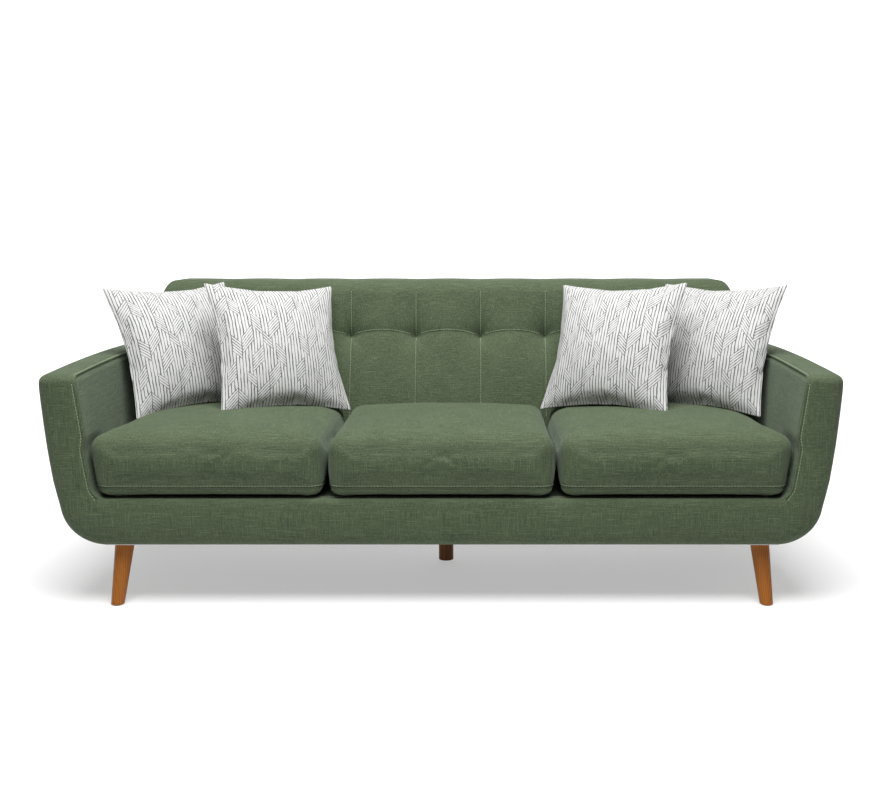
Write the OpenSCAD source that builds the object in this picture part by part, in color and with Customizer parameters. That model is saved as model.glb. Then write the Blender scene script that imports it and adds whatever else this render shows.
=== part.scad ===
// Three-seat sofa: a U of two flared arms and a front band around a tufted back,
// three loose seat cushions, four loose throw pillows and splayed turned legs.
// Millimetres, +Z up, origin on the floor under the middle; the front faces -Y.

/* [Overall] */
// Width across the tops of the arms
body_w = 2160; // [1700:10:2600]
// Depth from the front of the arms to the top of the back
body_d = 900; // [780:10:1100]
// Height of the top of the back
back_h = 873; // [780:1:1060]
// Height of the underside above the floor
leg_h = 173; // [130:1:220]

/* [Arms] */
// Height of the top of the arms
arm_h = 660; // [580:1:700]
// Thickness of an arm, measured level
arm_t = 95; // [80:1:130]
// Lean of the arms away from upright, in degrees
arm_flare = 7; // [3:0.5:10]
// Radius where the outside of an arm turns under the base
base_r = 120; // [60:1:140]

/* [Seat] */
// Height of the deck that the seat cushions lie on
deck_h = 306; // [280:1:340]
// Thickness of a seat cushion at the crown
cushion_t = 186; // [140:1:220]
// How far the side edges lie below the crown
cushion_crown = 30; // [10:1:40]
// How far the cushion fronts stand out from the arms
cushion_proud = 8; // [0:1:20]

/* [Back] */
// Distance from the front of the arms to the back's face, at seat level
seat_depth = 588; // [480:1:680]
// Lean of the back's face, in degrees
face_lean = 17; // [8:0.5:20]
// Lean of the outside back, in degrees
rear_lean = 7.3; // [3:0.1:9]
// Distance between the channels of the tufted back
channel_pitch = 213; // [150:1:260]
// Height of the row of tufts
tuft_h = 700; // [600:1:740]

/* [Legs] */
// Diameter of a leg at the top
leg_top_d = 53; // [44:1:64]
// Diameter of a leg at the foot
leg_foot_d = 36; // [26:1:44]
// Diameter of the straight centre leg
centre_leg_d = 46; // [34:1:56]
// Distance that a leg's foot stands out sideways from its top
splay_x = 16; // [0:1:24]
// Distance that a leg's foot stands out forwards or backwards from its top
splay_y = 40; // [0:1:50]

/* [Pillows] */
// Side of a throw pillow
pillow_w = 420; // [340:1:460]
// Thickness of a throw pillow in the middle
pillow_t = 130; // [90:1:150]

/* [Materials] */
// Thickness of the cover fabric with its lining
cloth = 2; // [1:0.5:3]
// Thickness of the frame boards
board = 25; // [18:1:32]
// Thickness of the foam over the frame's edges
foam = 18; // [12:1:30]
// Thickness of the leg plates
plate_t = 3; // [2:0.5:5]
// Thickness of the flat spring wire
wire = 4; // [3:0.5:5]
// Number of sinuous springs
spring_count = 9; // [5:1:11]

/* [Clearances] */
// Gap between pieces that move past each other
gap = 2; // [1:0.5:4]
// Gap under what lies on another piece
rest_gap = 0.4; // [0.3:0.1:1]

/* [Hidden] */
$fn = 48;

olive = [0.35, 0.42, 0.31];
dark_olive = [0.24, 0.30, 0.22];
ivory = [0.93, 0.92, 0.89];
amber = [0.72, 0.45, 0.20];
walnut = [0.30, 0.19, 0.12];
pine = [0.82, 0.68, 0.48];
foam_white = [0.90, 0.88, 0.80];
steel = [0.60, 0.62, 0.64];
black_cloth = [0.12, 0.12, 0.13];

half_w = body_w / 2;
front_y = -body_d / 2;
far = 2 * body_w;
side_sign = [-1, 1];

// ---- outline functions -------------------------------------------------------

function unit(v) = v / norm(v);
function left_of(v) = [-v[1], v[0]];
// Where the line through p along u meets the line through q along v
function meet(p, u, q, v) =
    let (d = u[0] * v[1] - u[1] * v[0], w = q - p) p + u * ((w[0] * v[1] - w[1] * v[0]) / d);
// An anticlockwise outline with each edge moved in by its own distance
function inset(pts, d) =
    let (n = len(pts)) [
        for (i = [0 : n - 1])
            let (
                a = pts[(i + n - 1) % n], b = pts[i], c = pts[(i + 1) % n],
                u = unit(b - a), v = unit(c - b)
            )
                meet(b + left_of(u) * d[(i + n - 1) % n], u, b + left_of(v) * d[i], v)
    ];
// The outline with an arc of radius r[i] in place of corner i
function rounded(pts, r, steps = 6) =
    let (n = len(pts)) [
        for (i = [0 : n - 1])
            let (
                b = pts[i], u = unit(pts[(i + n - 1) % n] - b), v = unit(pts[(i + 1) % n] - b),
                half = acos(u * v) / 2, mid = unit(u + v)
            )
                if (r[i] <= 0.01) b
                else
                    let (centre = b + mid * (r[i] / sin(half)), sweep = 180 - 2 * half,
                         turn = sign(u[0] * v[1] - u[1] * v[0]))
                        for (k = [0 : steps])
                            let (a = turn * sweep * (0.5 - k / steps))
                                centre - r[i] * [mid[0] * cos(a) - mid[1] * sin(a),
                                                 mid[0] * sin(a) + mid[1] * cos(a)]
    ];
function same(value, n) = [for (i = [1 : n]) value];
function lower(r, d) = [for (v = r) v <= 0.01 ? 0 : max(v - d, 1)];

// An XZ outline run along Y, and a YZ outline run along X
module along_y(pts, y0, y1) {
    translate([0, y1, 0]) rotate([90, 0, 0]) linear_extrude(y1 - y0) polygon(pts);
}
module along_x(pts, x0, x1) {
    translate([x0, 0, 0]) rotate([90, 0, 90]) linear_extrude(x1 - x0) polygon(pts);
}
module block(low, high) {
    translate(low) cube(high - low);
}
// Shows a right-hand piece on side s
module on_side(s) {
    mirror([s < 0 ? 1 : 0, 0, 0]) children();
}

// ---- shared lines ------------------------------------------------------------

flare = tan(arm_flare);
function arm_out(z) = half_w - (arm_h - z) * flare;
function arm_in(z) = arm_out(z) - arm_t;

rear_foot_y = body_d / 2 - (back_h - leg_h) * tan(rear_lean);
function rear_at(z) = rear_foot_y + (z - leg_h) * tan(rear_lean);
face_ref_z = deck_h + 164;
function face_at(z) = front_y + seat_depth + (z - face_ref_z) * tan(face_lean);

frame_z = leg_h + cloth;
rail_h = 110;
rail_top = frame_z + rail_h;
foot_inset = 175;
inner_x = half_w - foot_inset;
front_board_y = front_y + cloth + foam;
rail_back_y = front_board_y + board;
// Width of a seat cushion halfway up: three of them fill the space between the arms
cushion_w = (2 * arm_in(deck_h + cushion_t / 2) - 4 * gap) / 3;

// Everything behind the plane that lies d in front of the outside back
module behind(d) {
    translate([-far / 2, rear_foot_y, leg_h]) rotate([-rear_lean, 0, 0])
        translate([0, -d, -far / 2]) cube([far, far, far]);
}
// Places a piece in the back frame: Y forward of the outside back is negative, Z up along it
module back_frame() {
    translate([0, rear_foot_y, leg_h]) rotate([-rear_lean, 0, 0]) children();
}
frame_w0 = cloth + 4;
// Keeps the leaning boards' lower edges above the underside
frame_lift = 7;
post_w = 40;
rear_rail_front = frame_w0 + board;
post_front = frame_w0 + post_w;

// ---- legs --------------------------------------------------------------------

leg_back_from_edge = 65;
leg_in_from_rail = 15;
leg_x = inner_x - leg_in_from_rail;
front_leg_y = front_y + leg_back_from_edge;
rear_leg_y = rear_foot_y - leg_back_from_edge;
centre_leg_y = (front_leg_y + rear_leg_y) / 2 + 45;
glide_t = 3;
glide_d = 26;
plate_w = 88;
bolt_d = 8;
bolt_in = 22;
screw_d = 4;
screw_len = 14;
screw_head_d = 8;
screw_head_t = 1.6;
screw_off = 36;
plate_z = frame_z - plate_t;
// [side, front or rear, top x, top y] of each splayed leg
corner_legs = [[-1, -1, -leg_x, front_leg_y], [1, -1, leg_x, front_leg_y],
               [-1, 1, -leg_x, rear_leg_y], [1, 1, leg_x, rear_leg_y]];
leg_tops = concat([for (g = corner_legs) [g[2], g[3]]], [[0, centre_leg_y]]);
leg_feet = concat([for (g = corner_legs) [g[2] + g[0] * splay_x, g[3] + g[1] * splay_y]],
                  [[0, centre_leg_y]]);

// Keeps the cone's seam off the leg's steepest line
seam_turn = 37;
module splayed_leg(i) {
    top = leg_tops[i];
    foot = leg_feet[i];
    run = [foot[0] - top[0], foot[1] - top[1], glide_t - plate_z];
    long = norm(run);
    lean = acos(-run[2] / long);
    extra = 30;
    slope = (leg_top_d - leg_foot_d) / 2 / long;
    color(amber) difference() {
        intersection() {
            translate([top[0], top[1], plate_z]) rotate([0, 180 - lean, atan2(run[1], run[0])])
                rotate([0, 0, seam_turn]) translate([0, 0, -extra])
                    cylinder(h = long + 2 * extra, r1 = leg_top_d / 2 + extra * slope,
                             r2 = leg_foot_d / 2 - extra * slope);
            block([top[0] - 150, top[1] - 150, glide_t], [top[0] + 150, top[1] + 150, plate_z]);
        }
        bolts();
    }
}
module leg_front_left() { splayed_leg(0); }
module leg_front_right() { splayed_leg(1); }
module leg_rear_left() { splayed_leg(2); }
module leg_rear_right() { splayed_leg(3); }
module leg_centre() {
    color(walnut) difference() {
        translate([0, centre_leg_y, glide_t]) cylinder(h = plate_z - glide_t, d = centre_leg_d);
        bolts();
    }
}
module leg_glides() {
    color(black_cloth) for (p = leg_feet) translate([p[0], p[1], 0]) cylinder(h = glide_t, d = glide_d);
}
module bolts() {
    for (p = leg_tops) translate([p[0], p[1], plate_z - bolt_in])
        cylinder(h = 2 * bolt_in + plate_t, d = bolt_d);
}
module screws() {
    for (p = leg_tops, sx = side_sign, sy = side_sign)
        translate([p[0] + sx * screw_off, p[1] + sy * screw_off, plate_z]) {
            cylinder(h = screw_len, d = screw_d);
            translate([0, 0, -screw_head_t]) cylinder(h = screw_head_t, d = screw_head_d);
        }
}
module leg_plates() {
    color(steel) difference() {
        for (p = leg_tops) translate([p[0] - plate_w / 2, p[1] - plate_w / 2, plate_z])
            cube([plate_w, plate_w, plate_t]);
        bolts();
        screws();
    }
}
// Room round the plates in what covers the underside
module leg_plate_zone() {
    for (p = leg_tops) block([p[0] - plate_w / 2 - gap, p[1] - plate_w / 2 - gap, 0],
                             [p[0] + plate_w / 2 + gap, p[1] + plate_w / 2 + gap, frame_z]);
}
module leg_bolts() { color(steel) bolts(); }
module leg_screws() { color(steel) screws(); }
module fixings() {
    bolts();
    screws();
}

// ---- base frame --------------------------------------------------------------

module front_rail() {
    color(pine) difference() {
        block([-inner_x, front_board_y, frame_z], [inner_x, rail_back_y, rail_top]);
        fixings();
    }
}
module rear_rail() {
    color(pine) difference() {
        back_frame()
            block([-inner_x, -rear_rail_front, frame_lift], [inner_x, -frame_w0, rail_h - frame_lift]);
        fixings();
    }
}
module side_rail(s) {
    color(pine) difference() {
        on_side(s) block([inner_x, rail_back_y, frame_z], [inner_x + board, rear_foot_y, rail_top]);
        behind(post_front);
        fixings();
    }
}
module side_rail_left() { side_rail(-1); }
module side_rail_right() { side_rail(1); }

cross_h = 45;
cross_w = 2 * screw_off + 24;
// The outer cross rails and the uprights stand at the joints between the cushions
seat_gap_x = cushion_w / 2;
cross_xs = [-seat_gap_x, 0, seat_gap_x];
module cross_rails() {
    color(pine) difference() {
        for (x = cross_xs) block([x - cross_w / 2, rail_back_y, frame_z],
                                 [x + cross_w / 2, rear_foot_y + post_w, frame_z + cross_h]);
        behind(rear_rail_front);
        fixings();
    }
}
corner_w = 110;
corner_t = 60;
module corner_blocks() {
    color(pine) difference() {
        for (s = side_sign) on_side(s) {
            block([inner_x - corner_w, rail_back_y, frame_z],
                  [inner_x, rail_back_y + corner_w, frame_z + corner_t]);
            block([inner_x - corner_w, rear_foot_y - post_w - corner_w, frame_z],
                  [inner_x, rear_foot_y + post_w, frame_z + corner_t]);
        }
        behind(rear_rail_front);
        fixings();
    }
}

// ---- arms --------------------------------------------------------------------

arm_top_r = 26;
arm_seam_r = 34;
arm_front_r = 22;
// Right arm's outline, anticlockwise from the outer foot, moved in by d
function arm_outline(d) =
    let (
        pts = [[inner_x, leg_h], [arm_out(leg_h), leg_h], [half_w, arm_h],
               [half_w - arm_t, arm_h], [arm_in(deck_h), deck_h], [inner_x, deck_h]],
        r = [0, base_r, arm_top_r, arm_seam_r, 0, 0]
    )
        rounded(inset(pts, [d, d, d, d, d, 0]), lower(r, d));
// Side outline that rounds the front top edge and follows the outside back
function arm_side(d) =
    rounded([[front_y + d, leg_h - 10], [body_d, leg_h - 10], [body_d, arm_h - d], [front_y + d, arm_h - d]],
            [0, 0, 0, arm_front_r]);

module arm_solid(s, d) {
    on_side(s) difference() {
        intersection() {
            along_y(arm_outline(d), front_y + d, body_d / 2);
            along_x(arm_side(d), 0, far / 2);
        }
        behind(d);
    }
}
arm_board_in = cloth + foam;
module arm_board(s) {
    color(pine) on_side(s) intersection() {
        along_y(arm_outline(arm_board_in), front_board_y, rail_back_y);
        block([0, front_y, frame_z], [far / 2, 0, arm_h]);
    }
}
module arm_board_left() { arm_board(-1); }
module arm_board_right() { arm_board(1); }

arm_rail_h = 60;
arm_rail_out = cloth + foam;
module arm_rail(s) {
    top = arm_h - arm_rail_out - 8;
    x_in = arm_in(top) + arm_rail_out + 3;
    color(pine) on_side(s) difference() {
        along_y([[x_in - arm_rail_h * flare, top - arm_rail_h],
                 [x_in - arm_rail_h * flare + board, top - arm_rail_h], [x_in + board, top], [x_in, top]],
                rail_back_y, body_d / 2);
        behind(post_front);
    }
}
module arm_rail_left() { arm_rail(-1); }
module arm_rail_right() { arm_rail(1); }

module arm_wood(s) {
    side_rail(s);
    arm_board(s);
    arm_rail(s);
    back_post(s);
}
module arm_pad(s) {
    color(foam_white) difference() {
        arm_solid(s, cloth);
        block([-far / 2, front_y, -10], [far / 2, body_d, frame_z]);
        arm_wood(s);
        fixings();
    }
}
module arm_pad_left() { arm_pad(-1); }
module arm_pad_right() { arm_pad(1); }
module arm_cover(s) {
    color(olive) difference() {
        arm_solid(s, 0);
        difference() {
            arm_solid(s, cloth);
            block([-far / 2, front_y, -10], [far / 2, body_d, leg_h + cloth]);
        }
        side_rail(s);
        back_post(s);
        fixings();
        leg_plate_zone();
        behind(cloth);
    }
}
module arm_cover_left() { arm_cover(-1); }
module arm_cover_right() { arm_cover(1); }

// ---- back --------------------------------------------------------------------

back_top_r = 62;
back_front_r = 70;
back_rear_r = 34;
back_side_in = 28;
// Half of the back at a height: it fills the space between the arms, then draws in
back_half_top = half_w - arm_t - back_side_in - 5;
function back_front(d) =
    let (
        xa = arm_in(deck_h), xb = arm_in(arm_h),
        pts = [[-xa, deck_h], [xa, deck_h], [xb, arm_h], [back_half_top, back_h], [-back_half_top, back_h],
               [-xb, arm_h]]
    )
        rounded(inset(pts, [0, d, d, d, d, d]), lower([0, 0, 0, back_top_r, back_top_r, 0], d));
function back_side(d) =
    let (
        pts = [[face_at(deck_h), deck_h], [rear_at(deck_h), deck_h], [rear_at(back_h), back_h],
               [face_at(back_h), back_h]]
    )
        rounded(inset(pts, [0, d, d, d]), lower([0, 0, back_rear_r, back_front_r], d));
module back_solid(d) {
    intersection() {
        along_y(back_front(d), front_y, body_d);
        along_x(back_side(d), -half_w, half_w);
    }
}
// A board of the back frame: x range, distance in front of the outside back, height along it
module back_board(x0, x1, w0, w1, v0, v1) {
    color(pine) back_frame() block([x0, -w1, v0], [x1, -w0, v1]);
}
post_top = (back_h - leg_h) - 60;
module back_post(s) {
    color(pine) difference() {
        on_side(s) back_board(inner_x, inner_x + post_w, frame_w0, post_front, frame_lift, post_top);
        fixings();
    }
}
module back_post_left() { back_post(-1); }
module back_post_right() { back_post(1); }
top_rail_h = 60;
lower_rail_v = deck_h - leg_h + 30;
module back_top_rail() {
    back_board(-inner_x, inner_x, frame_w0, rear_rail_front, post_top - top_rail_h, post_top);
}
module back_lower_rail() {
    back_board(-inner_x, inner_x, frame_w0, rear_rail_front, lower_rail_v, lower_rail_v + top_rail_h);
}
module back_uprights() {
    for (x = [cross_xs[0], cross_xs[2]])
        back_board(x - 20, x + 20, frame_w0, rear_rail_front, lower_rail_v + top_rail_h,
                   post_top - top_rail_h);
}
web_w = 50;
// One web behind the middle of each channel that lies between the posts
web_side = floor((inner_x - web_w / 2 - gap) / channel_pitch);
web_xs = [for (i = [-web_side : web_side]) i * channel_pitch];
module back_webbing() {
    color(ivory) for (x = web_xs)
        back_board(x - web_w / 2, x + web_w / 2, rear_rail_front, rear_rail_front + 2, lower_rail_v,
                   post_top);
}
module back_wood() {
    back_post(-1);
    back_post(1);
    back_top_rail();
    back_lower_rail();
    back_uprights();
}
// Ties run level from the webbing's plane to the pits of the tufts
tie_d = 3;
tufts_each_side = floor((inner_x - tie_d - gap) / channel_pitch + 0.5);
tie_xs = [for (s = side_sign, i = [1 : tufts_each_side]) s * (i - 0.5) * channel_pitch];
module ties() {
    difference() {
        for (x = tie_xs) translate([x, face_at(tuft_h) + 6, tuft_h]) rotate([-90, 0, 0])
            cylinder(h = body_d / 2, d = tie_d);
        behind(rear_rail_front + 2);
    }
}
module tuft_ties() { color(ivory) ties(); }
module back_pad() {
    color(foam_white) difference() {
        back_solid(cloth);
        behind(frame_w0);
        back_wood();
        back_webbing();
        ties();
    }
}
module back_cover() {
    color(olive) difference() {
        back_solid(0);
        back_solid(cloth);
        behind(cloth);
        back_wood();
    }
}
// The outside back is one sheet from the base to the top rail
module outside_back() {
    side_run = 40;
    color(olive) difference() {
        intersection() {
            union() {
                along_y(back_front(0), front_y, body_d);
                for (s = side_sign) on_side(s) along_y(arm_outline(0), front_y, body_d);
                block([-inner_x, front_y, leg_h], [inner_x, body_d, deck_h]);
            }
            along_x([[rear_foot_y - side_run, leg_h], [rear_foot_y, leg_h],
                     [rear_at(back_h), back_h - back_rear_r],
                     [rear_at(back_h) - side_run, back_h - back_rear_r]],
                    -half_w, half_w);
            behind(cloth);
        }
        behind(0);
    }
}

// ---- deck and springs --------------------------------------------------------

felt_t = 12;
felt_z = deck_h - cloth - felt_t;
module deck_felt() {
    color(ivory) difference() {
        block([-inner_x, rail_back_y + 1, felt_z], [inner_x, rear_at(felt_z), deck_h - cloth]);
        behind(post_front);
    }
}
module deck_cloth() {
    color(dark_olive) difference() {
        block([-inner_x, rail_back_y + 1, deck_h - cloth], [inner_x, rear_at(deck_h), deck_h]);
        behind(post_front);
    }
}
spring_w = 46;
spring_pitch = 56;
spring_z = rail_top;
spring_y0 = rail_back_y - board / 2;
spring_y1 = rear_at(rail_top) - rear_rail_front * 0.75;
spring_turns = floor((spring_y1 - spring_y0) / spring_pitch);
spring_step = (spring_y1 - spring_y0) / spring_turns;
spring_side = 60;
spring_xs = [for (i = [0 : spring_count - 1])
    (i + 0.5 - spring_count / 2) * 2 * (inner_x - spring_side) / spring_count];
// How far the cross bars run on into the half circles
bar_lap = 0.5;
// The wire's middle line zigzags in level half circles joined by cross bars
module spring_path() {
    r = spring_step / 4;
    bar = spring_w / 2 - r;
    bar_size = [2 * (bar + bar_lap), wire];
    for (i = [0 : spring_turns - 1], k = [0, 1]) {
        y = spring_y0 + (i + 0.25 + k / 2) * spring_step;
        s = k == 0 ? 1 : -1;
        translate([s * bar, y]) intersection() {
            difference() {
                circle(r = r + wire / 2, $fn = 24);
                circle(r = r - wire / 2, $fn = 24);
            }
            translate([s > 0 ? 0 : -2 * r, -2 * r]) square([2 * r, 4 * r]);
        }
        translate([-bar - bar_lap, y + r - wire / 2]) square(bar_size);
    }
    translate([-bar - bar_lap, spring_y0 - wire / 2]) square(bar_size);
}
module seat_springs() {
    color(steel) for (x = spring_xs) translate([x, 0, spring_z + 1]) linear_extrude(wire) spring_path();
}
clip = [18, 16, wire + 2.5];
module spring_clips() {
    color(steel) difference() {
        for (x = spring_xs, y = [spring_y0, spring_y1])
            translate([x - clip[0] / 2, y - clip[1] / 2, spring_z]) cube(clip);
        seat_springs();
    }
}

// ---- front band --------------------------------------------------------------

front_lip = 60;
band_z = deck_h;
function front_side(d) =
    rounded([[front_y + d, leg_h + d], [front_y + front_lip, leg_h + d], [front_y + front_lip, band_z - d],
             [front_y + d, band_z - d]], [4, 0, 0, 12]);
module band_inside() {
    block([-inner_x, front_y, 0], [inner_x, 0, deck_h]);
}
module band_solid(d) {
    intersection() {
        along_x(front_side(d), -half_w, half_w);
        band_inside();
    }
}
module front_rail_zone() {
    block([-inner_x, front_board_y, frame_z - 10], [inner_x, body_d, rail_top]);
}
module front_pad() {
    color(foam_white) difference() {
        band_solid(cloth);
        front_rail_zone();
        block([-inner_x, rail_back_y + 1, 0], [inner_x, body_d, deck_h]);
        block([-inner_x, rail_back_y - board, rail_top - 1], [inner_x, body_d, felt_z]);
    }
}
module front_cover() {
    color(olive) difference() {
        band_solid(0);
        band_solid(cloth);
        block([-inner_x, front_y + cloth, leg_h + cloth], [inner_x, body_d, deck_h - cloth]);
        block([-inner_x, rail_back_y + 1, 0], [inner_x, body_d, deck_h + 1]);
        leg_plate_zone();
    }
}
module dust_cover() {
    color(black_cloth) difference() {
        block([-inner_x, rail_back_y + 1, frame_z - 1], [inner_x, rear_foot_y, frame_z]);
        behind(cloth);
        leg_plate_zone();
    }
}

// ---- seat cushions -----------------------------------------------------------

cushion_z = deck_h + rest_gap;
cushion_rear_gap = 8;
cushion_front = front_y - cushion_proud;
cushion_side = arm_in(cushion_z) - gap;
edge_h = cushion_t - cushion_crown;
cushion_nose = 150;
function cushion_back(z) = face_at(z) - cushion_rear_gap;
// [x0, x1] of each cushion at its foot; the outer sides lean with the arms
cushion_span = [
    [-cushion_side, -cushion_w / 2 - gap],
    [-cushion_w / 2, cushion_w / 2],
    [cushion_w / 2 + gap, cushion_side]
];
function side_lean(i, x) = abs(x) > cushion_w ? sign(x) * edge_h * flare : 0;
// Front outline of cushion i, crowned across the top
function cushion_outline(i, d) =
    let (
        x0 = cushion_span[i][0], x1 = cushion_span[i][1], mid = (x0 + x1) / 2, w = (x1 - x0) / 4,
        top = cushion_z + cushion_t, edge = cushion_z + edge_h,
        pts = [[x0, cushion_z], [x1, cushion_z], [x1 + side_lean(i, x1), edge],
               [mid + w, top - cushion_crown / 5], [mid, top], [mid - w, top - cushion_crown / 5],
               [x0 + side_lean(i, x0), edge]]
    )
        rounded(inset(pts, same(d, 7)), lower([22, 22, 50, 0, 0, 0, 50], d));
function cushion_profile(d) =
    let (
        top = cushion_z + cushion_t, edge = cushion_z + edge_h,
        pts = [[cushion_front, cushion_z], [cushion_back(cushion_z), cushion_z], [cushion_back(edge), edge],
               [cushion_back(edge) - cushion_nose, top], [cushion_front, top]]
    )
        rounded(inset(pts, same(d, 5)), lower([30, 22, 40, 0, 55], d));
module cushion_solid(i, d) {
    intersection() {
        along_y(cushion_outline(i, d), front_y - 2 * cushion_proud - 10, body_d / 2);
        along_x(cushion_profile(d), -half_w, half_w);
    }
}
zip_side = 76;
zip_len = cushion_w - 2 * zip_side;
zip_up = 80;
zip_h = 12;
function cushion_mid(i) = (cushion_span[i][0] + cushion_span[i][1]) / 2;
// Places a piece on the cushion's rear face: +Y out of it, Z up along it, X from its middle
module on_rear(i) {
    translate([cushion_mid(i), cushion_back(cushion_z), cushion_z]) rotate([-face_lean, 0, 0])
        children();
}
module zip_zone(i) {
    on_rear(i) block([-zip_len / 2, -cloth, zip_up - zip_h / 2], [zip_len / 2, 0, zip_up + zip_h / 2]);
}
module seat_cover(i) {
    color(olive) difference() {
        cushion_solid(i, 0);
        cushion_solid(i, cloth);
        zip_zone(i);
    }
}
module seat_core(i) { color(foam_white) cushion_solid(i, cloth); }
module seat_zip(i) { color(dark_olive) zip_zone(i); }
slider_w = 9;
slider_h = 8;
slider_t = 3;
pull_w = 4;
pull_t = 1.2;
pull_len = 24;
module zip_slider(i) {
    x0 = -zip_len / 2 + slider_w;
    color(steel) on_rear(i) translate([x0, rest_gap, zip_up]) {
        block([0, 0, -slider_h / 2], [slider_w, slider_t, slider_h / 2]);
        block([(slider_w - pull_w) / 2, slider_t, -pull_len],
              [(slider_w + pull_w) / 2, slider_t + pull_t, slider_h / 4]);
    }
}
module seat_cover_left() { seat_cover(0); }
module seat_cover_middle() { seat_cover(1); }
module seat_cover_right() { seat_cover(2); }
module seat_core_left() { seat_core(0); }
module seat_core_middle() { seat_core(1); }
module seat_core_right() { seat_core(2); }
module seat_zip_left() { seat_zip(0); }
module seat_zip_middle() { seat_zip(1); }
module seat_zip_right() { seat_zip(2); }
module zip_slider_left() { zip_slider(0); }
module zip_slider_middle() { zip_slider(1); }
module zip_slider_right() { zip_slider(2); }

// ---- throw pillows -----------------------------------------------------------

pillow_edge = 8;
pillow_lean = 25;
pillow_clear = 1;
zip_slit = [260, 3, 10];
pillow_z = cushion_z + cushion_t + pillow_clear
    + (pillow_w * cos(pillow_lean) + pillow_edge * sin(pillow_lean)) / 2;
// How far the outer pillows stand in from the arms, and the inner ones reach behind them
pillow_from_arm = 161;
pillow_overlap = 114;
pillow_outer_x = arm_in(arm_h) - pillow_from_arm;
pillow_inner_x = pillow_outer_x - pillow_w + pillow_overlap;
// Distance of the pillows' middles in front of the back's face
pillow_outer_y = face_at(pillow_z) - 170;
pillow_inner_y = face_at(pillow_z) - 190;
pillow_outer_turn = 42;
pillow_inner_turn = 32.5;
// [x, y, turn] of the middle of each pillow, left to right
pillow_places = [
    [-pillow_outer_x, pillow_outer_y, pillow_outer_turn],
    [-pillow_inner_x, pillow_inner_y, pillow_inner_turn],
    [pillow_inner_x, pillow_inner_y, -pillow_inner_turn],
    [pillow_outer_x, pillow_outer_y, -pillow_outer_turn]
];
// Square outline, with two cylinders each way bounding the faces
module pillow_shape(d) {
    sag = (pillow_t - pillow_edge) / 2;
    r = (pow(pillow_w / 2, 2) + pow(sag, 2)) / (2 * sag);
    w = pillow_w - 2 * d;
    intersection() {
        cube([w, pillow_t, w], center = true);
        intersection_for (s = side_sign) translate([0, s * (r - pillow_t / 2), 0]) intersection() {
            cylinder(h = 2 * w, r = r - d, center = true, $fn = 180);
            rotate([0, 90, 0]) cylinder(h = 2 * w, r = r - d, center = true, $fn = 180);
        }
    }
}
module place_pillow(i) {
    p = pillow_places[i];
    translate([p[0], p[1], pillow_z]) rotate([0, 0, p[2]]) rotate([-pillow_lean, 0, 0]) children();
}
module pillow_cover(i) {
    color(ivory) place_pillow(i) difference() {
        pillow_shape(0);
        pillow_shape(cloth);
        translate([0, 0, -pillow_w / 2]) cube(zip_slit, center = true);
    }
}
module pillow_fill(i) { color(foam_white) place_pillow(i) pillow_shape(cloth); }
module pillow_cover_outer_left() { pillow_cover(0); }
module pillow_cover_inner_left() { pillow_cover(1); }
module pillow_cover_inner_right() { pillow_cover(2); }
module pillow_cover_outer_right() { pillow_cover(3); }
module pillow_fill_outer_left() { pillow_fill(0); }
module pillow_fill_inner_left() { pillow_fill(1); }
module pillow_fill_inner_right() { pillow_fill(2); }
module pillow_fill_outer_right() { pillow_fill(3); }

leg_front_left();
leg_front_right();
leg_rear_left();
leg_rear_right();
leg_centre();
leg_glides();
leg_plates();
leg_bolts();
leg_screws();
front_rail();
rear_rail();
side_rail_left();
side_rail_right();
cross_rails();
corner_blocks();
arm_board_left();
arm_board_right();
arm_rail_left();
arm_rail_right();
back_post_left();
back_post_right();
back_top_rail();
back_lower_rail();
back_uprights();
seat_springs();
spring_clips();
back_webbing();
deck_felt();
deck_cloth();
front_pad();
front_cover();
arm_pad_left();
arm_pad_right();
arm_cover_left();
arm_cover_right();
back_pad();
back_cover();
outside_back();
tuft_ties();
dust_cover();
seat_cover_left();
seat_cover_middle();
seat_cover_right();
seat_core_left();
seat_core_middle();
seat_core_right();
seat_zip_left();
seat_zip_middle();
seat_zip_right();
zip_slider_left();
zip_slider_middle();
zip_slider_right();
pillow_cover_outer_left();
pillow_cover_inner_left();
pillow_cover_inner_right();
pillow_cover_outer_right();
pillow_fill_outer_left();
pillow_fill_inner_left();
pillow_fill_inner_right();
pillow_fill_outer_right();
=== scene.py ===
"""A three-seat sofa with a tufted back, flared arms, loose cushions and wooden legs."""
import math

import bmesh
import bpy
from bpy.props import FloatProperty, FloatVectorProperty, PointerProperty
from mathutils import Matrix, Vector, noise
from mathutils.bvhtree import BVHTree


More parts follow.
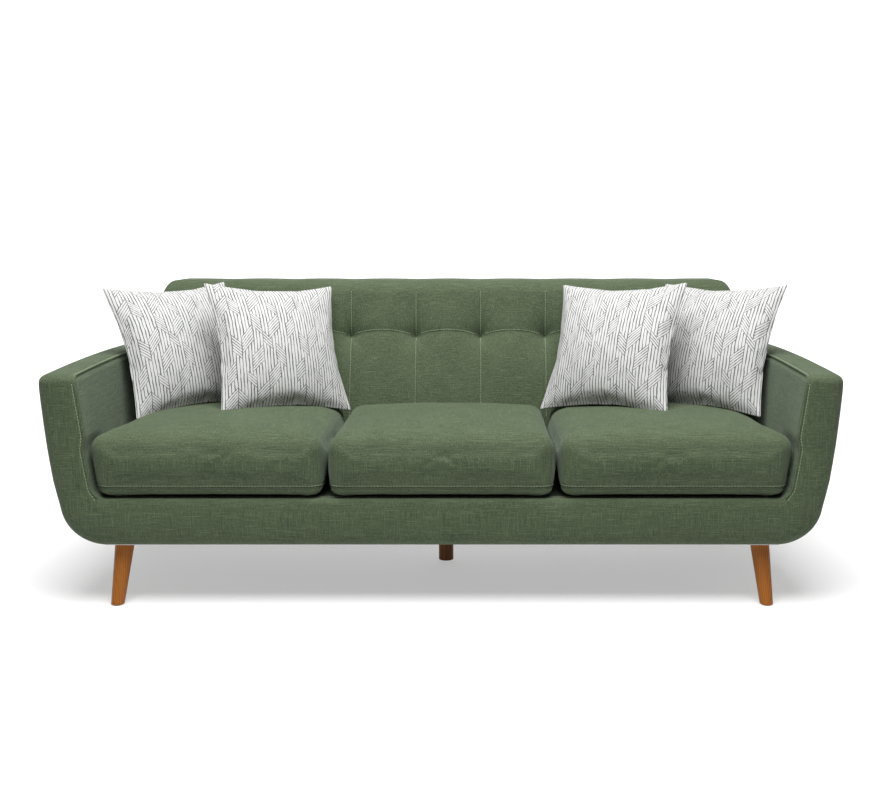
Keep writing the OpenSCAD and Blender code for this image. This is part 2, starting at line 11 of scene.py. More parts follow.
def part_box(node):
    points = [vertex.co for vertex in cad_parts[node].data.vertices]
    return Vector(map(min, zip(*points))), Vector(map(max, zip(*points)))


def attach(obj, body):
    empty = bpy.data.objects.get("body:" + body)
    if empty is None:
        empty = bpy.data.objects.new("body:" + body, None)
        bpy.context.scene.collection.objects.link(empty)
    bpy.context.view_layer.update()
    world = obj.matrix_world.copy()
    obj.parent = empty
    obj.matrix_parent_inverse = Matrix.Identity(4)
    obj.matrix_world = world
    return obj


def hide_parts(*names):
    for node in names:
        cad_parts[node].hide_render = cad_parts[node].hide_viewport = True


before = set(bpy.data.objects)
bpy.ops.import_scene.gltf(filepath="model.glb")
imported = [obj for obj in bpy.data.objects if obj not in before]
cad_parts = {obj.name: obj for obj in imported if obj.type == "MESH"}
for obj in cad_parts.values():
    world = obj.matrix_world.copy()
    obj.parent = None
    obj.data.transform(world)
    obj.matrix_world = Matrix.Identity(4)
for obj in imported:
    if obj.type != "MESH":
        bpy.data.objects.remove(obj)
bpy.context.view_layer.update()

bl_info = {
    "name": "Tufted Sofa",
    "version": (1, 0, 0),
    "blender": (4, 5, 0),
    "location": "View3D > Sidebar > Sofa",
    "description": "Builds the covers, cushions, pillows and finishes of a three-seat sofa",
    "category": "Add Mesh",
}

BODY = "frame"
SEATS = ("left", "middle", "right")
PILLOWS = ("outer_left", "inner_left", "inner_right", "outer_right")

# ---- sizes that come from the frame, in metres ------------------------------------------

ARM_LOW, ARM_HIGH = (Vector(c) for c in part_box("arm_cover_right"))
BACK_LOW, BACK_HIGH = (Vector(c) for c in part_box("back_cover"))
PANEL_LOW, PANEL_HIGH = (Vector(c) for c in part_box("outside_back"))
FRONT_Y = ARM_LOW.y
BASE_Z = ARM_LOW.z
ARM_TOP = ARM_HIGH.z
DECK_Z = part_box("deck_cloth")[1][2]
RAIL_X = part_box("front_cover")[1][0]
BACK_TOP = BACK_HIGH.z
CLOTH = 0.002
REAR_FOOT = PANEL_LOW.y + CLOTH
REAR_SLOPE = math.tan(math.radians(7.3))
SEAT_LOW, SEAT_HIGH = (Vector(c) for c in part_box("seat_cover_right"))
SEAT_LEAN = SEAT_HIGH.z * 0.035
SEAT_FRONT = SEAT_LOW.y
LEG_PLATE = 0.088
PLATES_LOW, PLATES_HIGH = (Vector(c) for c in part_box("leg_plates"))
CENTRE_LOW, CENTRE_HIGH = (Vector(c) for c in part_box("leg_centre"))
LEG_TOPS = [(x, y) for x in (PLATES_LOW.x + LEG_PLATE / 2, PLATES_HIGH.x - LEG_PLATE / 2)
            for y in (PLATES_LOW.y + LEG_PLATE / 2, PLATES_HIGH.y - LEG_PLATE / 2)]
LEG_TOPS.append(((CENTRE_LOW.x + CENTRE_HIGH.x) / 2, (CENTRE_LOW.y + CENTRE_HIGH.y) / 2))


def colour(name, description, default):
    """A linear colour property with its name and description."""
    return FloatVectorProperty(
        name=name, description=description, default=default, size=3, min=0, max=1, subtype="COLOR"
    )


def length(name, description, default, low=0.0, high=3.0):
    """A length property in metres."""
    return FloatProperty(
        name=name, description=description, default=default, min=low, max=high, precision=4,
        unit="LENGTH",
    )


class SofaSizes(bpy.types.PropertyGroup):
    """Sizes of the padding, seams and tufts."""

    arm_width: length("Arm Width", "Width of an arm across its front", 0.095)
    arm_lean: FloatProperty(
        name="Arm Lean", description="Lean of the arms away from upright",
        default=math.radians(7), subtype="ANGLE",
    )
    arm_swell: FloatProperty(
        name="Arm Padding", description="How full the outside of the arms is", default=1.0,
        min=0, max=2,
    )
    corner_radius: length("Corner Radius", "Radius where an arm turns under the base", 0.12)
    seat_corner_radius: length("Seat Corner Radius", "Radius inside the foot of an arm", 0.022)
    edge_radius: length("Edge Radius", "Rounding of the padded edges", 0.024)
    channel_pitch: length("Channel Pitch", "Distance between the back's channel seams", 0.213)
    channel_depth: length("Channel Depth", "How far a channel seam sinks into the back", 0.011)
    tuft_height: length("Tuft Height", "Height of the row of tufts", 0.700)
    tuft_depth: length("Tuft Depth", "How deep a tuft pulls in", 0.026)
    seam_rise: length("Seam Rise", "How far the cross seam bows up between tufts", 0.012)
    back_seat_y: length("Back Foot", "Where the back's face meets the deck", 0.088, -1, 1)
    back_lean: FloatProperty(
        name="Back Lean", description="Lean of the back's face",
        default=math.radians(17), subtype="ANGLE",
    )
    crown: length("Seat Crown", "How far a seat cushion's top rises above its edges", 0.024)
    seam_height: length("Seat Seam Height", "Height of the seam above a seat cushion's foot", 0.031)
    stitch: length("Stitch Length", "Length of one stitch", 0.0065)
    stitch_gap: length("Stitch Gap", "Gap between two stitches", 0.0022)
    thread: length("Thread Width", "Width of the stitching thread", 0.0017)


class SofaColours(bpy.types.PropertyGroup):
    """Colours of the cloths, the thread and the wood."""

    linen: colour("Linen", "Main colour of the linen", (0.052, 0.071, 0.037))
    linen_light: colour("Light Slubs", "Colour of the light slubs", (0.120, 0.155, 0.088))
    linen_dark: colour("Dark Slubs", "Colour of the dark slubs", (0.024, 0.034, 0.017))
    # The topstitch colour is lighter than the linen: partly the thread's own colour, partly a
    # painted highlight where the stitched seams catch the light.
    topstitch_and_highlight: colour("Topstitch", "Colour of the topstitching thread", (0.19, 0.24, 0.14))
    print_ground: colour("Print Ground", "Ground colour of the printed cotton", (0.46, 0.46, 0.45))
    print_line: colour("Print Lines", "Colour of the printed lines", (0.045, 0.047, 0.05))
    wood: colour("Leg Wood", "Colour of the stained legs", (0.30, 0.102, 0.012))
    wood_dark: colour("Leg Grain", "Colour of the grain in the legs", (0.14, 0.040, 0.006))
    floor: colour("Floor", "Colour of the studio floor", (0.50, 0.50, 0.50))


# ---- node helpers -----------------------------------------------------------------------


def set_inputs(tree, node, inputs):
    """Sets a node's inputs; a socket as a value is linked."""
    for key, value in (inputs or {}).items():
        if isinstance(value, bpy.types.NodeSocket):
            tree.links.new(value, node.inputs[key])
        else:
            node.inputs[key].default_value = value


def add_node(tree, kind, inputs=None, **settings):
    """A node with its settings and socket values."""
    node = tree.nodes.new(kind)
    for key, value in settings.items():
        setattr(node, key, value)
    set_inputs(tree, node, inputs)
    return node


def maths(tree, operation, *values):
    """The result of a maths node on numbers or sockets."""
    return add_node(tree, "ShaderNodeMath", dict(enumerate(values)), operation=operation).outputs[0]


def ramp(tree, value, low, high, to_low=0.0, to_high=1.0):
    """A value carried smoothly from one range to another."""
    return add_node(
        tree, "ShaderNodeMapRange",
        {"Value": value, "From Min": low, "From Max": high, "To Min": to_low, "To Max": to_high},
        interpolation_type="SMOOTHSTEP",
    ).outputs["Result"]


def mix_colour(tree, factor, first, second, blend="MIX"):
    """Two colours mixed by a factor."""
    node = add_node(tree, "ShaderNodeMix", data_type="RGBA", blend_type=blend)
    for index, value in ((0, factor), (6, first), (7, second)):
        socket = node.inputs[index]
        if isinstance(value, bpy.types.NodeSocket):
            tree.links.new(value, socket)
        elif isinstance(value, (int, float)):
            socket.default_value = value
        else:
            socket.default_value = (*value, 1)
    return node.outputs[2]


def scaled(tree, vector, scale):
    """A vector with each axis scaled."""
    return add_node(
        tree, "ShaderNodeVectorMath", {0: vector, 1: scale}, operation="MULTIPLY"
    ).outputs[0]


def cloud(tree, vector, scale=1.0, detail=2.0, roughness=0.5):
    """The value of a noise texture."""
    return add_node(
        tree, "ShaderNodeTexNoise",
        {"Vector": vector, "Scale": scale, "Detail": detail, "Roughness": roughness},
    ).outputs["Fac"]


def start_group(name, inputs, outputs):
    """A shader node group with its sockets; returns the tree and its two end nodes."""
    tree = bpy.data.node_groups.new(name, "ShaderNodeTree")
    for label, kind, value in inputs:
        socket = tree.interface.new_socket(label, in_out="INPUT", socket_type=kind)
        if value is not None:
            socket.default_value = value
    for label, kind in outputs:
        tree.interface.new_socket(label, in_out="OUTPUT", socket_type=kind)
    return tree, tree.nodes.new("NodeGroupInput"), tree.nodes.new("NodeGroupOutput")


def place_group(tree, name, inputs=None):
    """A group node of that name in a material."""
    node = tree.nodes.new("ShaderNodeGroup")
    node.node_tree = bpy.data.node_groups[name]
    set_inputs(tree, node, inputs)
    return node


FLOAT, VECTOR, COLOUR = "NodeSocketFloat", "NodeSocketVector", "NodeSocketColor"


def make_weave_group():
    """Slubbed plain weave: threads along each axis, thick and thin, over a fine basket."""
    tree, start, end = start_group(
        "slub_weave",
        [
            ("Vector", VECTOR, None), ("Thread", FLOAT, 0.0024), ("Slub Length", FLOAT, 0.06),
            ("Base", COLOUR, (0.1, 0.1, 0.1, 1)), ("Light", COLOUR, (0.2, 0.2, 0.2, 1)),
            ("Dark", COLOUR, (0.05, 0.05, 0.05, 1)),
        ],
        [("Color", COLOUR), ("Height", FLOAT)],
    )
    vector = start.outputs["Vector"]
    across = maths(tree, "DIVIDE", 1.0, start.outputs["Thread"])
    along = maths(tree, "DIVIDE", 1.0, start.outputs["Slub Length"])
    light, dark, height = 0.0, 0.0, 0.0
    for axis in range(3):
        scale = add_node(
            tree, "ShaderNodeCombineXYZ", {i: along if i == axis else across for i in range(3)}
        ).outputs[0]
        threads = cloud(tree, scaled(tree, vector, scale), 1.0, 1.0, 0.5)
        light = maths(tree, "MAXIMUM", light, ramp(tree, threads, 0.60, 0.68))
        dark = maths(tree, "MAXIMUM", dark, ramp(tree, threads, 0.41, 0.33))
        height = maths(tree, "ADD", height, threads)
    patches = cloud(tree, vector, 9.0, 3.0, 0.6)
    fine = cloud(tree, vector, 900.0, 1.0, 0.5)
    tone = mix_colour(tree, maths(tree, "MULTIPLY", dark, 0.62), start.outputs["Base"],
                      start.outputs["Dark"])
    tone = mix_colour(tree, maths(tree, "MULTIPLY", light, 0.36), tone, start.outputs["Light"])
    tone = mix_colour(tree, ramp(tree, patches, 0.35, 0.7, 0.0, 0.09), tone, start.outputs["Light"])
    tone = mix_colour(tree, ramp(tree, fine, 0.3, 0.7, 0.0, 0.22), tone, start.outputs["Dark"])
    parts = add_node(tree, "ShaderNodeSeparateXYZ", {0: vector})
    for axis in range(3):
        wave = maths(tree, "SINE", maths(tree, "MULTIPLY", parts.outputs[axis], math.tau / 0.0021))
        height = maths(tree, "ADD", height, maths(tree, "MULTIPLY", wave, 0.16))
    tree.links.new(tone, end.inputs["Color"])
    tree.links.new(height, end.inputs["Height"])


def new_material(name, roughness, **sockets):
    """A material with a Principled shader; returns it, its tree and the shader."""
    material = bpy.data.materials.new(name)
    if material.name != name:
        raise RuntimeError("a material is already called " + name)
    material.use_nodes = True
    tree = material.node_tree
    shader = tree.nodes["Principled BSDF"]
    shader.inputs["Roughness"].default_value = roughness
    for key, value in sockets.items():
        shader.inputs[key.replace("_", " ")].default_value = value
    return material, tree, shader


def bump(tree, shader, height, distance, strength=1.0):
    """A bump from a height on the shader's normal."""
    node = add_node(
        tree, "ShaderNodeBump", {"Height": height, "Distance": distance, "Strength": strength}
    )
    tree.links.new(node.outputs[0], shader.inputs["Normal"])


def object_coordinates(tree):
    """The place on the piece, in metres."""
    return add_node(tree, "ShaderNodeTexCoord").outputs["Object"]


def linen_material(name, base, light, dark, thread=0.0024, slub=0.055, relief=0.0007):
    """A slubbed cloth."""
    material, tree, shader = new_material(
        name, 0.86, Sheen_Weight=0.12, Sheen_Roughness=0.5, Specular_IOR_Level=0.2
    )
    shader.inputs["Sheen Tint"].default_value = (0.76, 0.88, 0.78, 1)
    weave = place_group(
        tree, "slub_weave",
        {"Vector": object_coordinates(tree), "Thread": thread, "Slub Length": slub,
         "Base": (*base, 1), "Light": (*light, 1), "Dark": (*dark, 1)},
    )
    tree.links.new(weave.outputs["Color"], shader.inputs["Base Color"])
    bump(tree, shader, weave.outputs["Height"], relief, 0.8)
    return material


def thread_material(name, tone):
    """Twisted sewing thread."""
    material, tree, shader = new_material(name, 0.6, Sheen_Weight=0.2)
    twist = cloud(tree, object_coordinates(tree), 700.0, 2.0)
    dark = tuple(0.7 * c for c in tone)
    tree.links.new(mix_colour(tree, twist, dark, tone), shader.inputs["Base Color"])
    bump(tree, shader, twist, 0.0004)
    return material


def wood_material(name, light, dark, gloss=0.42):
    """Stained wood with its grain along the leg."""
    material, tree, shader = new_material(name, gloss, Specular_IOR_Level=0.22)
    place = object_coordinates(tree)
    wander = cloud(tree, scaled(tree, place, (6, 6, 2)), 3.0, 2.0)
    rings = add_node(
        tree, "ShaderNodeTexWave",
        {"Vector": scaled(tree, place, (60, 60, 5)), "Scale": 1.0,
         "Distortion": 5.0, "Detail": 3.0, "Detail Scale": 1.2},
        wave_type="RINGS", rings_direction="Z",
    ).outputs["Fac"]
    pores = cloud(tree, scaled(tree, place, (900, 900, 30)), 1.0, 2.0, 0.6)
    tone = mix_colour(tree, ramp(tree, rings, 0.1, 0.95, 0.0, 0.55), light, dark)
    tone = mix_colour(tree, ramp(tree, pores, 0.55, 0.75, 0.0, 0.45), tone, dark)
    tone = mix_colour(tree, ramp(tree, wander, 0.4, 0.7, 0.0, 0.3), tone, dark)
    tree.links.new(tone, shader.inputs["Base Color"])
    tree.links.new(ramp(tree, pores, 0.3, 0.8, gloss, gloss + 0.2), shader.inputs["Roughness"])
    bump(tree, shader, pores, 0.0002, 0.5)
    return material


def make_patch_group():
    """A slanted patch of the print, whose lines run diagonally between two upright ones."""
    tree, start, end = start_group(
        "print_patch",
        [("U", FLOAT, 0.0), ("V", FLOAT, 0.0), ("At U", FLOAT, 0.0), ("At V", FLOAT, 0.0),
         ("Half Width", FLOAT, 0.02), ("Half Height", FLOAT, 0.02), ("Slope", FLOAT, 1.0),
         ("Lines", FLOAT, 0.0)],
        [("Lines", FLOAT)],
    )
    beside = maths(tree, "SUBTRACT", start.outputs["U"], start.outputs["At U"])
    above = maths(tree, "SUBTRACT", start.outputs["V"], start.outputs["At V"])
    slanted = maths(tree, "SUBTRACT", above,
                    maths(tree, "MULTIPLY", beside, start.outputs["Slope"]))
    inside = 1.0
    for away, size in ((beside, "Half Width"), (slanted, "Half Height")):
        within = maths(tree, "LESS_THAN", maths(tree, "ABSOLUTE", away), start.outputs[size])
        inside = maths(tree, "MULTIPLY", inside, within)
    change = maths(tree, "SUBTRACT", slanted, start.outputs["Lines"])
    tree.links.new(
        maths(tree, "ADD", start.outputs["Lines"], maths(tree, "MULTIPLY", change, inside)),
        end.inputs["Lines"])


PRINT_PITCH = 0.0098
PRINT_ACROSS = 22
PRINT_UP = 0.310
# Patches of the print in one repeat: first line, lines across, height, rows, slope
PATCHES = (
    (1, 4, 0.032, 2, 1.0), (5, 3, 0.032, 2, -1.1), (11, 4, 0.050, 2, 1.0), (17, 3, 0.022, 1, -1.0),
    (15, 4, 0.108, 2, 1.1), (8, 3, 0.098, 1, -1.0), (2, 3, 0.122, 2, 1.0), (18, 3, 0.172, 2, -1.1),
    (10, 4, 0.165, 2, 1.0), (4, 3, 0.205, 2, -1.0), (7, 4, 0.228, 2, 1.1), (14, 3, 0.222, 1, -1.0),
    (0, 3, 0.262, 2, 1.0), (16, 4, 0.268, 2, 1.0), (11, 3, 0.280, 2, -1.1),
)


def print_material(name, ground, ink):
    """White cotton printed with rough upright lines and slanted patches."""
    material, tree, shader = new_material(
        name, 0.85, Sheen_Weight=0.15, Specular_IOR_Level=0.2
    )
    place = add_node(tree, "ShaderNodeUVMap", uv_map="cloth").outputs["UV"]
    shake = cloud(tree, place, 45.0, 2.0)
    parts = add_node(tree, "ShaderNodeSeparateXYZ", {0: place})
    across = maths(tree, "ADD", parts.outputs[0],
                   maths(tree, "MULTIPLY", maths(tree, "SUBTRACT", shake, 0.5), 0.004))
    repeat = PRINT_PITCH * PRINT_ACROSS
    u = maths(tree, "MULTIPLY", maths(tree, "FRACT", maths(tree, "DIVIDE", across, repeat)), repeat)
    v = maths(tree, "MULTIPLY",
              maths(tree, "FRACT", maths(tree, "DIVIDE", parts.outputs[1], PRINT_UP)), PRINT_UP)
    lines = across
    for first, count, height, rows, slope in PATCHES:
        lines = place_group(
            tree, "print_patch",
            {"U": u, "V": v, "At U": (first + 0.5 + count / 2) * PRINT_PITCH, "At V": height,
             "Half Width": (count / 2 - 0.16) * PRINT_PITCH,
             "Half Height": (rows + 0.68) * PRINT_PITCH, "Slope": slope, "Lines": lines},
        ).outputs["Lines"]
    saw = maths(tree, "FRACT", maths(tree, "DIVIDE", lines, PRINT_PITCH))
    line = maths(tree, "ABSOLUTE", maths(tree, "SUBTRACT", saw, 0.5))
    uneven = cloud(tree, scaled(tree, place, (90, 25, 1)), 1.0, 2.0)
    thick = ramp(tree, uneven, 0.3, 0.7, 0.07, 0.19)
    edge = maths(tree, "SUBTRACT", line, thick)
    dry = cloud(tree, scaled(tree, place, (700, 260, 1)), 1.0, 2.0, 0.6)
    inked = maths(tree, "MULTIPLY", ramp(tree, edge, 0.05, -0.02),
                  ramp(tree, dry, 0.30, 0.55, 0.45, 1.0))
    threads = cloud(tree, place, 1100.0, 1.0)
    shade = tuple(0.86 * c for c in ground)
    cotton = mix_colour(tree, threads, shade, ground)
    tree.links.new(mix_colour(tree, inked, cotton, ink), shader.inputs["Base Color"])
    bump(tree, shader, threads, 0.0005, 0.6)
    return material


def plain_material(name, tone, roughness, metallic=0.0, speck=300.0, spread=0.25, relief=0.0003):
    """A part finish with a little mottling."""
    material, tree, shader = new_material(name, roughness, Metallic=metallic)
    patches = cloud(tree, object_coordinates(tree), speck, 3.0, 0.6)
    dark = tuple((1 - spread) * c for c in tone)
    tree.links.new(mix_colour(tree, patches, dark, tone), shader.inputs["Base Color"])
    tree.links.new(ramp(tree, patches, 0.3, 0.7, roughness - 0.08, roughness + 0.08),
                   shader.inputs["Roughness"])
    bump(tree, shader, patches, relief, 0.5)
    return material


# ---- mesh helpers -----------------------------------------------------------------------


def grid_block(low, high, cells, crowd=(0.0, 0.0, 0.0)):
    """A box cut into cells along each axis; crowd draws the cuts towards its ends."""
    bm = bmesh.new()
    bmesh.ops.create_cube(bm, size=1.0)
    for axis, count in enumerate(cells):
        along = [e for e in bm.edges if abs(e.verts[0].co[axis] - e.verts[1].co[axis]) > 1e-6]
        if count > 1:
            bmesh.ops.subdivide_edges(bm, edges=along, cuts=count - 1, use_grid_fill=True)
    for vert in bm.verts:
        for axis in range(3):
            t = vert.co[axis] + 0.5
            t -= crowd[axis] * math.sin(math.tau * t) / math.tau
            vert.co[axis] = low[axis] + t * (high[axis] - low[axis])
    return bm


def core_point(co, low, high, radii):
    """The nearest point of the box that is left when the radii are taken off a box's sides."""
    return Vector(clamp(co[i], low[i] + radii[i], high[i] - radii[i]) for i in range(3))


def round_edges(bm, low, high, radius):
    """Rounds a box's edges and corners to a radius."""
    for vert in bm.verts:
        core = core_point(vert.co, low, high, [radius] * 3)
        out = vert.co - core
        if out.length > 1e-9:
            vert.co = core + out.normalized() * radius


def add_piece(name, bm, material, body=BODY, replaced=()):
    """Makes a finished piece from a bmesh, and ties it to the frame."""
    bmesh.ops.recalc_face_normals(bm, faces=bm.faces)
    mesh = bpy.data.meshes.new(name)
    bm.to_mesh(mesh)
    bm.free()
    mesh.polygons.foreach_set("use_smooth", [True] * len(mesh.polygons))
    mesh.materials.append(bpy.data.materials[material])
    piece = bpy.data.objects.new(name, mesh)
    bpy.context.scene.collection.objects.link(piece)
    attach(piece, body)
    if replaced:
        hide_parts(*replaced)
    return piece


def run_points(points, step):
    """Points and directions at even steps along a line through points."""
    out, left = [], 0.0
    for start, end in zip(points, points[1:]):
        span = (end - start).length
        if span < 1e-9:
            continue
        direction = (end - start) / span
        while left <= span:
            out.append((start + direction * left, direction))
            left += step
        left -= span
    return out


def add_stitches(bm, points, normals, sizes):
    """Sews a row of stitches along a line; normals are the surface's at each point."""
    path = [Vector(p) for p in points]
    lengths = [0.0]
    for a, b in zip(path, path[1:]):
        lengths.append(lengths[-1] + (b - a).length)
    walked = 0.0
    index = 0
    for spot, direction in run_points(path, sizes.stitch + sizes.stitch_gap):
        while index < len(path) - 2 and lengths[index + 1] < walked:
            index += 1
        walked += sizes.stitch + sizes.stitch_gap
        up = Vector(normals[index]).normalized()
        side = up.cross(direction).normalized()
        up = direction.cross(side)
        turn = Matrix((direction, side, up)).transposed().to_4x4()
        size = Matrix.Diagonal((sizes.stitch, sizes.thread, sizes.thread * 0.7, 1))
        middle = Matrix.Translation(spot + direction * sizes.stitch / 2)
        bmesh.ops.create_cube(bm, size=1.0, matrix=middle @ turn @ size)


def add_tube(bm, points, radius, sides=6):
    """A closed tube along a line, spun from a ring that is carried from point to point."""
    path = [Vector(p) for p in points]
    rings = []
    for i, point in enumerate(path):
        ahead = path[min(i + 1, len(path) - 1)]
        behind = path[max(i - 1, 0)]
        turn = (ahead - behind).to_track_quat("Z", "Y").to_matrix().to_4x4()
        made = bmesh.ops.create_circle(
            bm, cap_ends=i in (0, len(path) - 1), segments=sides, radius=radius,
            matrix=Matrix.Translation(point) @ turn,
        )
        rings.append(made["verts"])
    for first, second in zip(rings, rings[1:]):
        edges = set()
        for ring in (first, second):
            for vert in ring:
                edges.update(e for e in vert.link_edges if e.other_vert(vert) in ring)
        bmesh.ops.bridge_loops(bm, edges=list(edges))


def blow_up(context, bm, pressure, steps, cap, bend=0.5):
    """Fills a closed form with pressure as cloth, moving no point much further than the cap."""
    mesh = bpy.data.meshes.new("cloth_case")
    bm.to_mesh(mesh)
    case = bpy.data.objects.new("cloth_case", mesh)
    context.scene.collection.objects.link(case)
    cloth = case.modifiers.new("fill", "CLOTH")
    settings = cloth.settings
    settings.quality = 6
    settings.mass = 0.3
    settings.tension_stiffness = 80
    settings.compression_stiffness = 15
    settings.shear_stiffness = 27
    settings.bending_stiffness = bend
    settings.use_pressure = True
    settings.uniform_pressure_force = pressure
    settings.effector_weights.gravity = 0
    for frame_number in range(1, steps + 1):
        context.scene.frame_set(frame_number)
    filled = case.evaluated_get(context.evaluated_depsgraph_get())
    targets = [vert.co.copy() for vert in filled.data.vertices]
    context.scene.frame_set(1)
    bpy.data.objects.remove(case)
    bpy.data.meshes.remove(mesh)
    for vert, target in zip(bm.verts, targets):
        move = target - vert.co
        if move.length > 1e-7:
            vert.co += move.normalized() * cap * math.tanh(move.length / cap)


def on_surface(tree, point, out, lift=0.0005):
    """The point of a surface that is met from outside, lifted off it a little."""
    hit, _, _, _ = tree.ray_cast(point + out * 0.1, -out)
    return (hit if hit else point) + out * lift


def mix(a, b, t):
    """A value t of the way from a to b."""
    return a + (b - a) * t


def clamp(t, low=0.0, high=1.0):
    """A value kept between two others."""
    return min(max(t, low), high)


def ease(t):
    """0 to 1, with level ends."""
    t = clamp(t)
    return t * t * (3 - 2 * t)


# ---- arms and base ----------------------------------------------------------------------


def rounded_turn(start, corner, end, radius):
    """A path through a rounded corner: first straight 0 to 1, arc 1 to 2, last straight 2 to 3."""
    first, last = (start - corner).normalized(), (end - corner).normalized()
    half = first.angle(last) / 2
    back = radius / math.tan(half)
    enter, leave = corner + first * back, corner + last * back
    centre = corner + (first + last).normalized() * (radius / math.sin(half))
    sweep = (enter - centre).angle_signed(leave - centre)

    def at(u):
        if u <= 1:
            return start + (enter - start) * u
        if u >= 2:
            return leave + (end - leave) * (u - 2)
        angle = -sweep * (u - 1)
        arm = enter - centre
        return centre + Vector((arm.x * math.cos(angle) - arm.y * math.sin(angle),
                                arm.x * math.sin(angle) + arm.y * math.cos(angle)))

    return at


# How far the padding stands out along the U: 0 to 1 base, 1 to 2 corner, 2 to 3 arm
ARM_SWELL = (
    (0.0, 0.0), (1.0, 0.010), (1.25, 0.012), (1.6, 0.015), (2.0, 0.0155), (2.1, 0.0190),
    (2.2, 0.0220), (2.35, 0.0222), (2.5, 0.0215), (2.65, 0.0193), (2.8, 0.0165), (2.9, 0.0138),
    (3.0, 0.009),
)
# Where the outer seat cushions press into the arms: their upper edge, the length of the press
# behind their fronts, how deep it is at the foot and how much deeper above, and the most an arm
# gives way
SEAT_EDGE_Z = 0.49
PRESS_BACK, PRESS_FADE = 0.18, 0.10
PRESS_FOOT, PRESS_RISE = 0.0155, 0.0075
PRESS_LIMIT = 0.018


def along_table(table, u):
    """A value read between the rows of a table."""
    for (u0, a), (u1, b) in zip(table, table[1:]):
        if u <= u1:
            return mix(a, b, (u - u0) / (u1 - u0))
    return table[-1][1]


def seat_side(y, z):
    """How far out the side of an outer seat cushion stands at a place."""
    up = (z - SEAT_LOW.z) / (SEAT_HIGH.z - SEAT_LOW.z)
    return SEAT_HIGH.x - SEAT_LEAN * (1 - up) + seat_bulge(y, up)


def seat_bulge(y, up):
    """How far the outer seat cushions press into the arms near their fronts."""
    near_front = ease((SEAT_FRONT + PRESS_BACK - y) / PRESS_FADE)
    return near_front * (PRESS_FOOT + PRESS_RISE * clamp(up))


class TubShape:
    """Bends a straight padded bar into the U of the two arms and the base."""

    def __init__(self, sizes):
        lean = math.tan(sizes.arm_lean)
        top_x = RAIL_X + 0.175
        self.width = sizes.arm_width
        self.radius = sizes.edge_radius
        outer_foot = Vector((top_x - (ARM_TOP - BASE_Z) * lean, BASE_Z))
        inner_foot = Vector((top_x - self.width - (ARM_TOP - DECK_Z) * lean, DECK_Z))
        self.outer = rounded_turn(Vector((0, BASE_Z)), outer_foot, Vector((top_x, ARM_TOP)),
                                  sizes.corner_radius)
        self.inner = rounded_turn(Vector((0, DECK_Z)), inner_foot,
                                  Vector((top_x - self.width, ARM_TOP)), sizes.seat_corner_radius)
        self.parts = (0.915, 0.174, 0.385)
        self.swell = sizes.arm_swell
        self.rear = REAR_FOOT - CLOTH

    @property
    def half(self):
        return sum(self.parts)

    def stage_of(self, s):
        """Where along the U a distance lies: 0 to 1 base, 1 to 2 corner, 2 to 3 arm."""
        s = abs(s)
        for i, part in enumerate(self.parts):
            if s <= part or i == 2:
                return i + s / part
            s -= part

    def place(self, co):
        """A point of the bar, (along, across, back), on the sofa."""
        u = self.stage_of(co.x)
        side = -1 if co.x < 0 else 1
        k = co.y / self.width + 0.5
        inner, outer = self.inner(u), self.outer(u)
        z = mix(inner.y, outer.y, k)
        pressed = seat_side(co.z, z) + 0.001
        press = ease((z - DECK_Z - 0.004) / 0.022) * ease((SEAT_EDGE_Z - z) / 0.05)
        given = clamp(pressed - inner.x, 0.0, PRESS_LIMIT)
        inner_x = inner.x + given * press * ease(u - 1.2)
        x = mix(inner_x, outer.x + self.swell * along_table(ARM_SWELL, u), k)
        up = clamp(u - 2)
        t = (co.z - FRONT_Y) / (self.rear - FRONT_Y)
        z += up * (-0.013 + 0.050 * t - 0.037 * t * t)
        if u < 2:
            sink = 0.005 * ease((co.z - FRONT_Y - 0.03) / 0.03) * (1 - k) * ease(2 - u)
            z -= sink
        y = FRONT_Y + (co.z - FRONT_Y) * (self.rear + (z - BASE_Z) * REAR_SLOPE - FRONT_Y) / (
            self.rear - FRONT_Y)
        front = ease(1 - (co.z - FRONT_Y) / 0.05)
        y -= 0.006 * front * max(0.0, 1 - (2 * k - 1) ** 2)
        return Vector((side * x, y, z))

    def sharpen(self, co):
        """Tightens the seam round the inner edge of the front."""
        r = self.radius
        a = (co.y + self.width / 2) / r
        b = (co.z - FRONT_Y) / r
        if a >= 1 or b >= 1:
            return co
        p, q = 1 - a, 1 - b
        long = math.hypot(p, q)
        if long < 1e-6:
            return co
        grow = long / (p ** 5 + q ** 5) ** 0.2
        return Vector((co.x, (1 - p * grow) * r - self.width / 2, FRONT_Y + (1 - q * grow) * r))


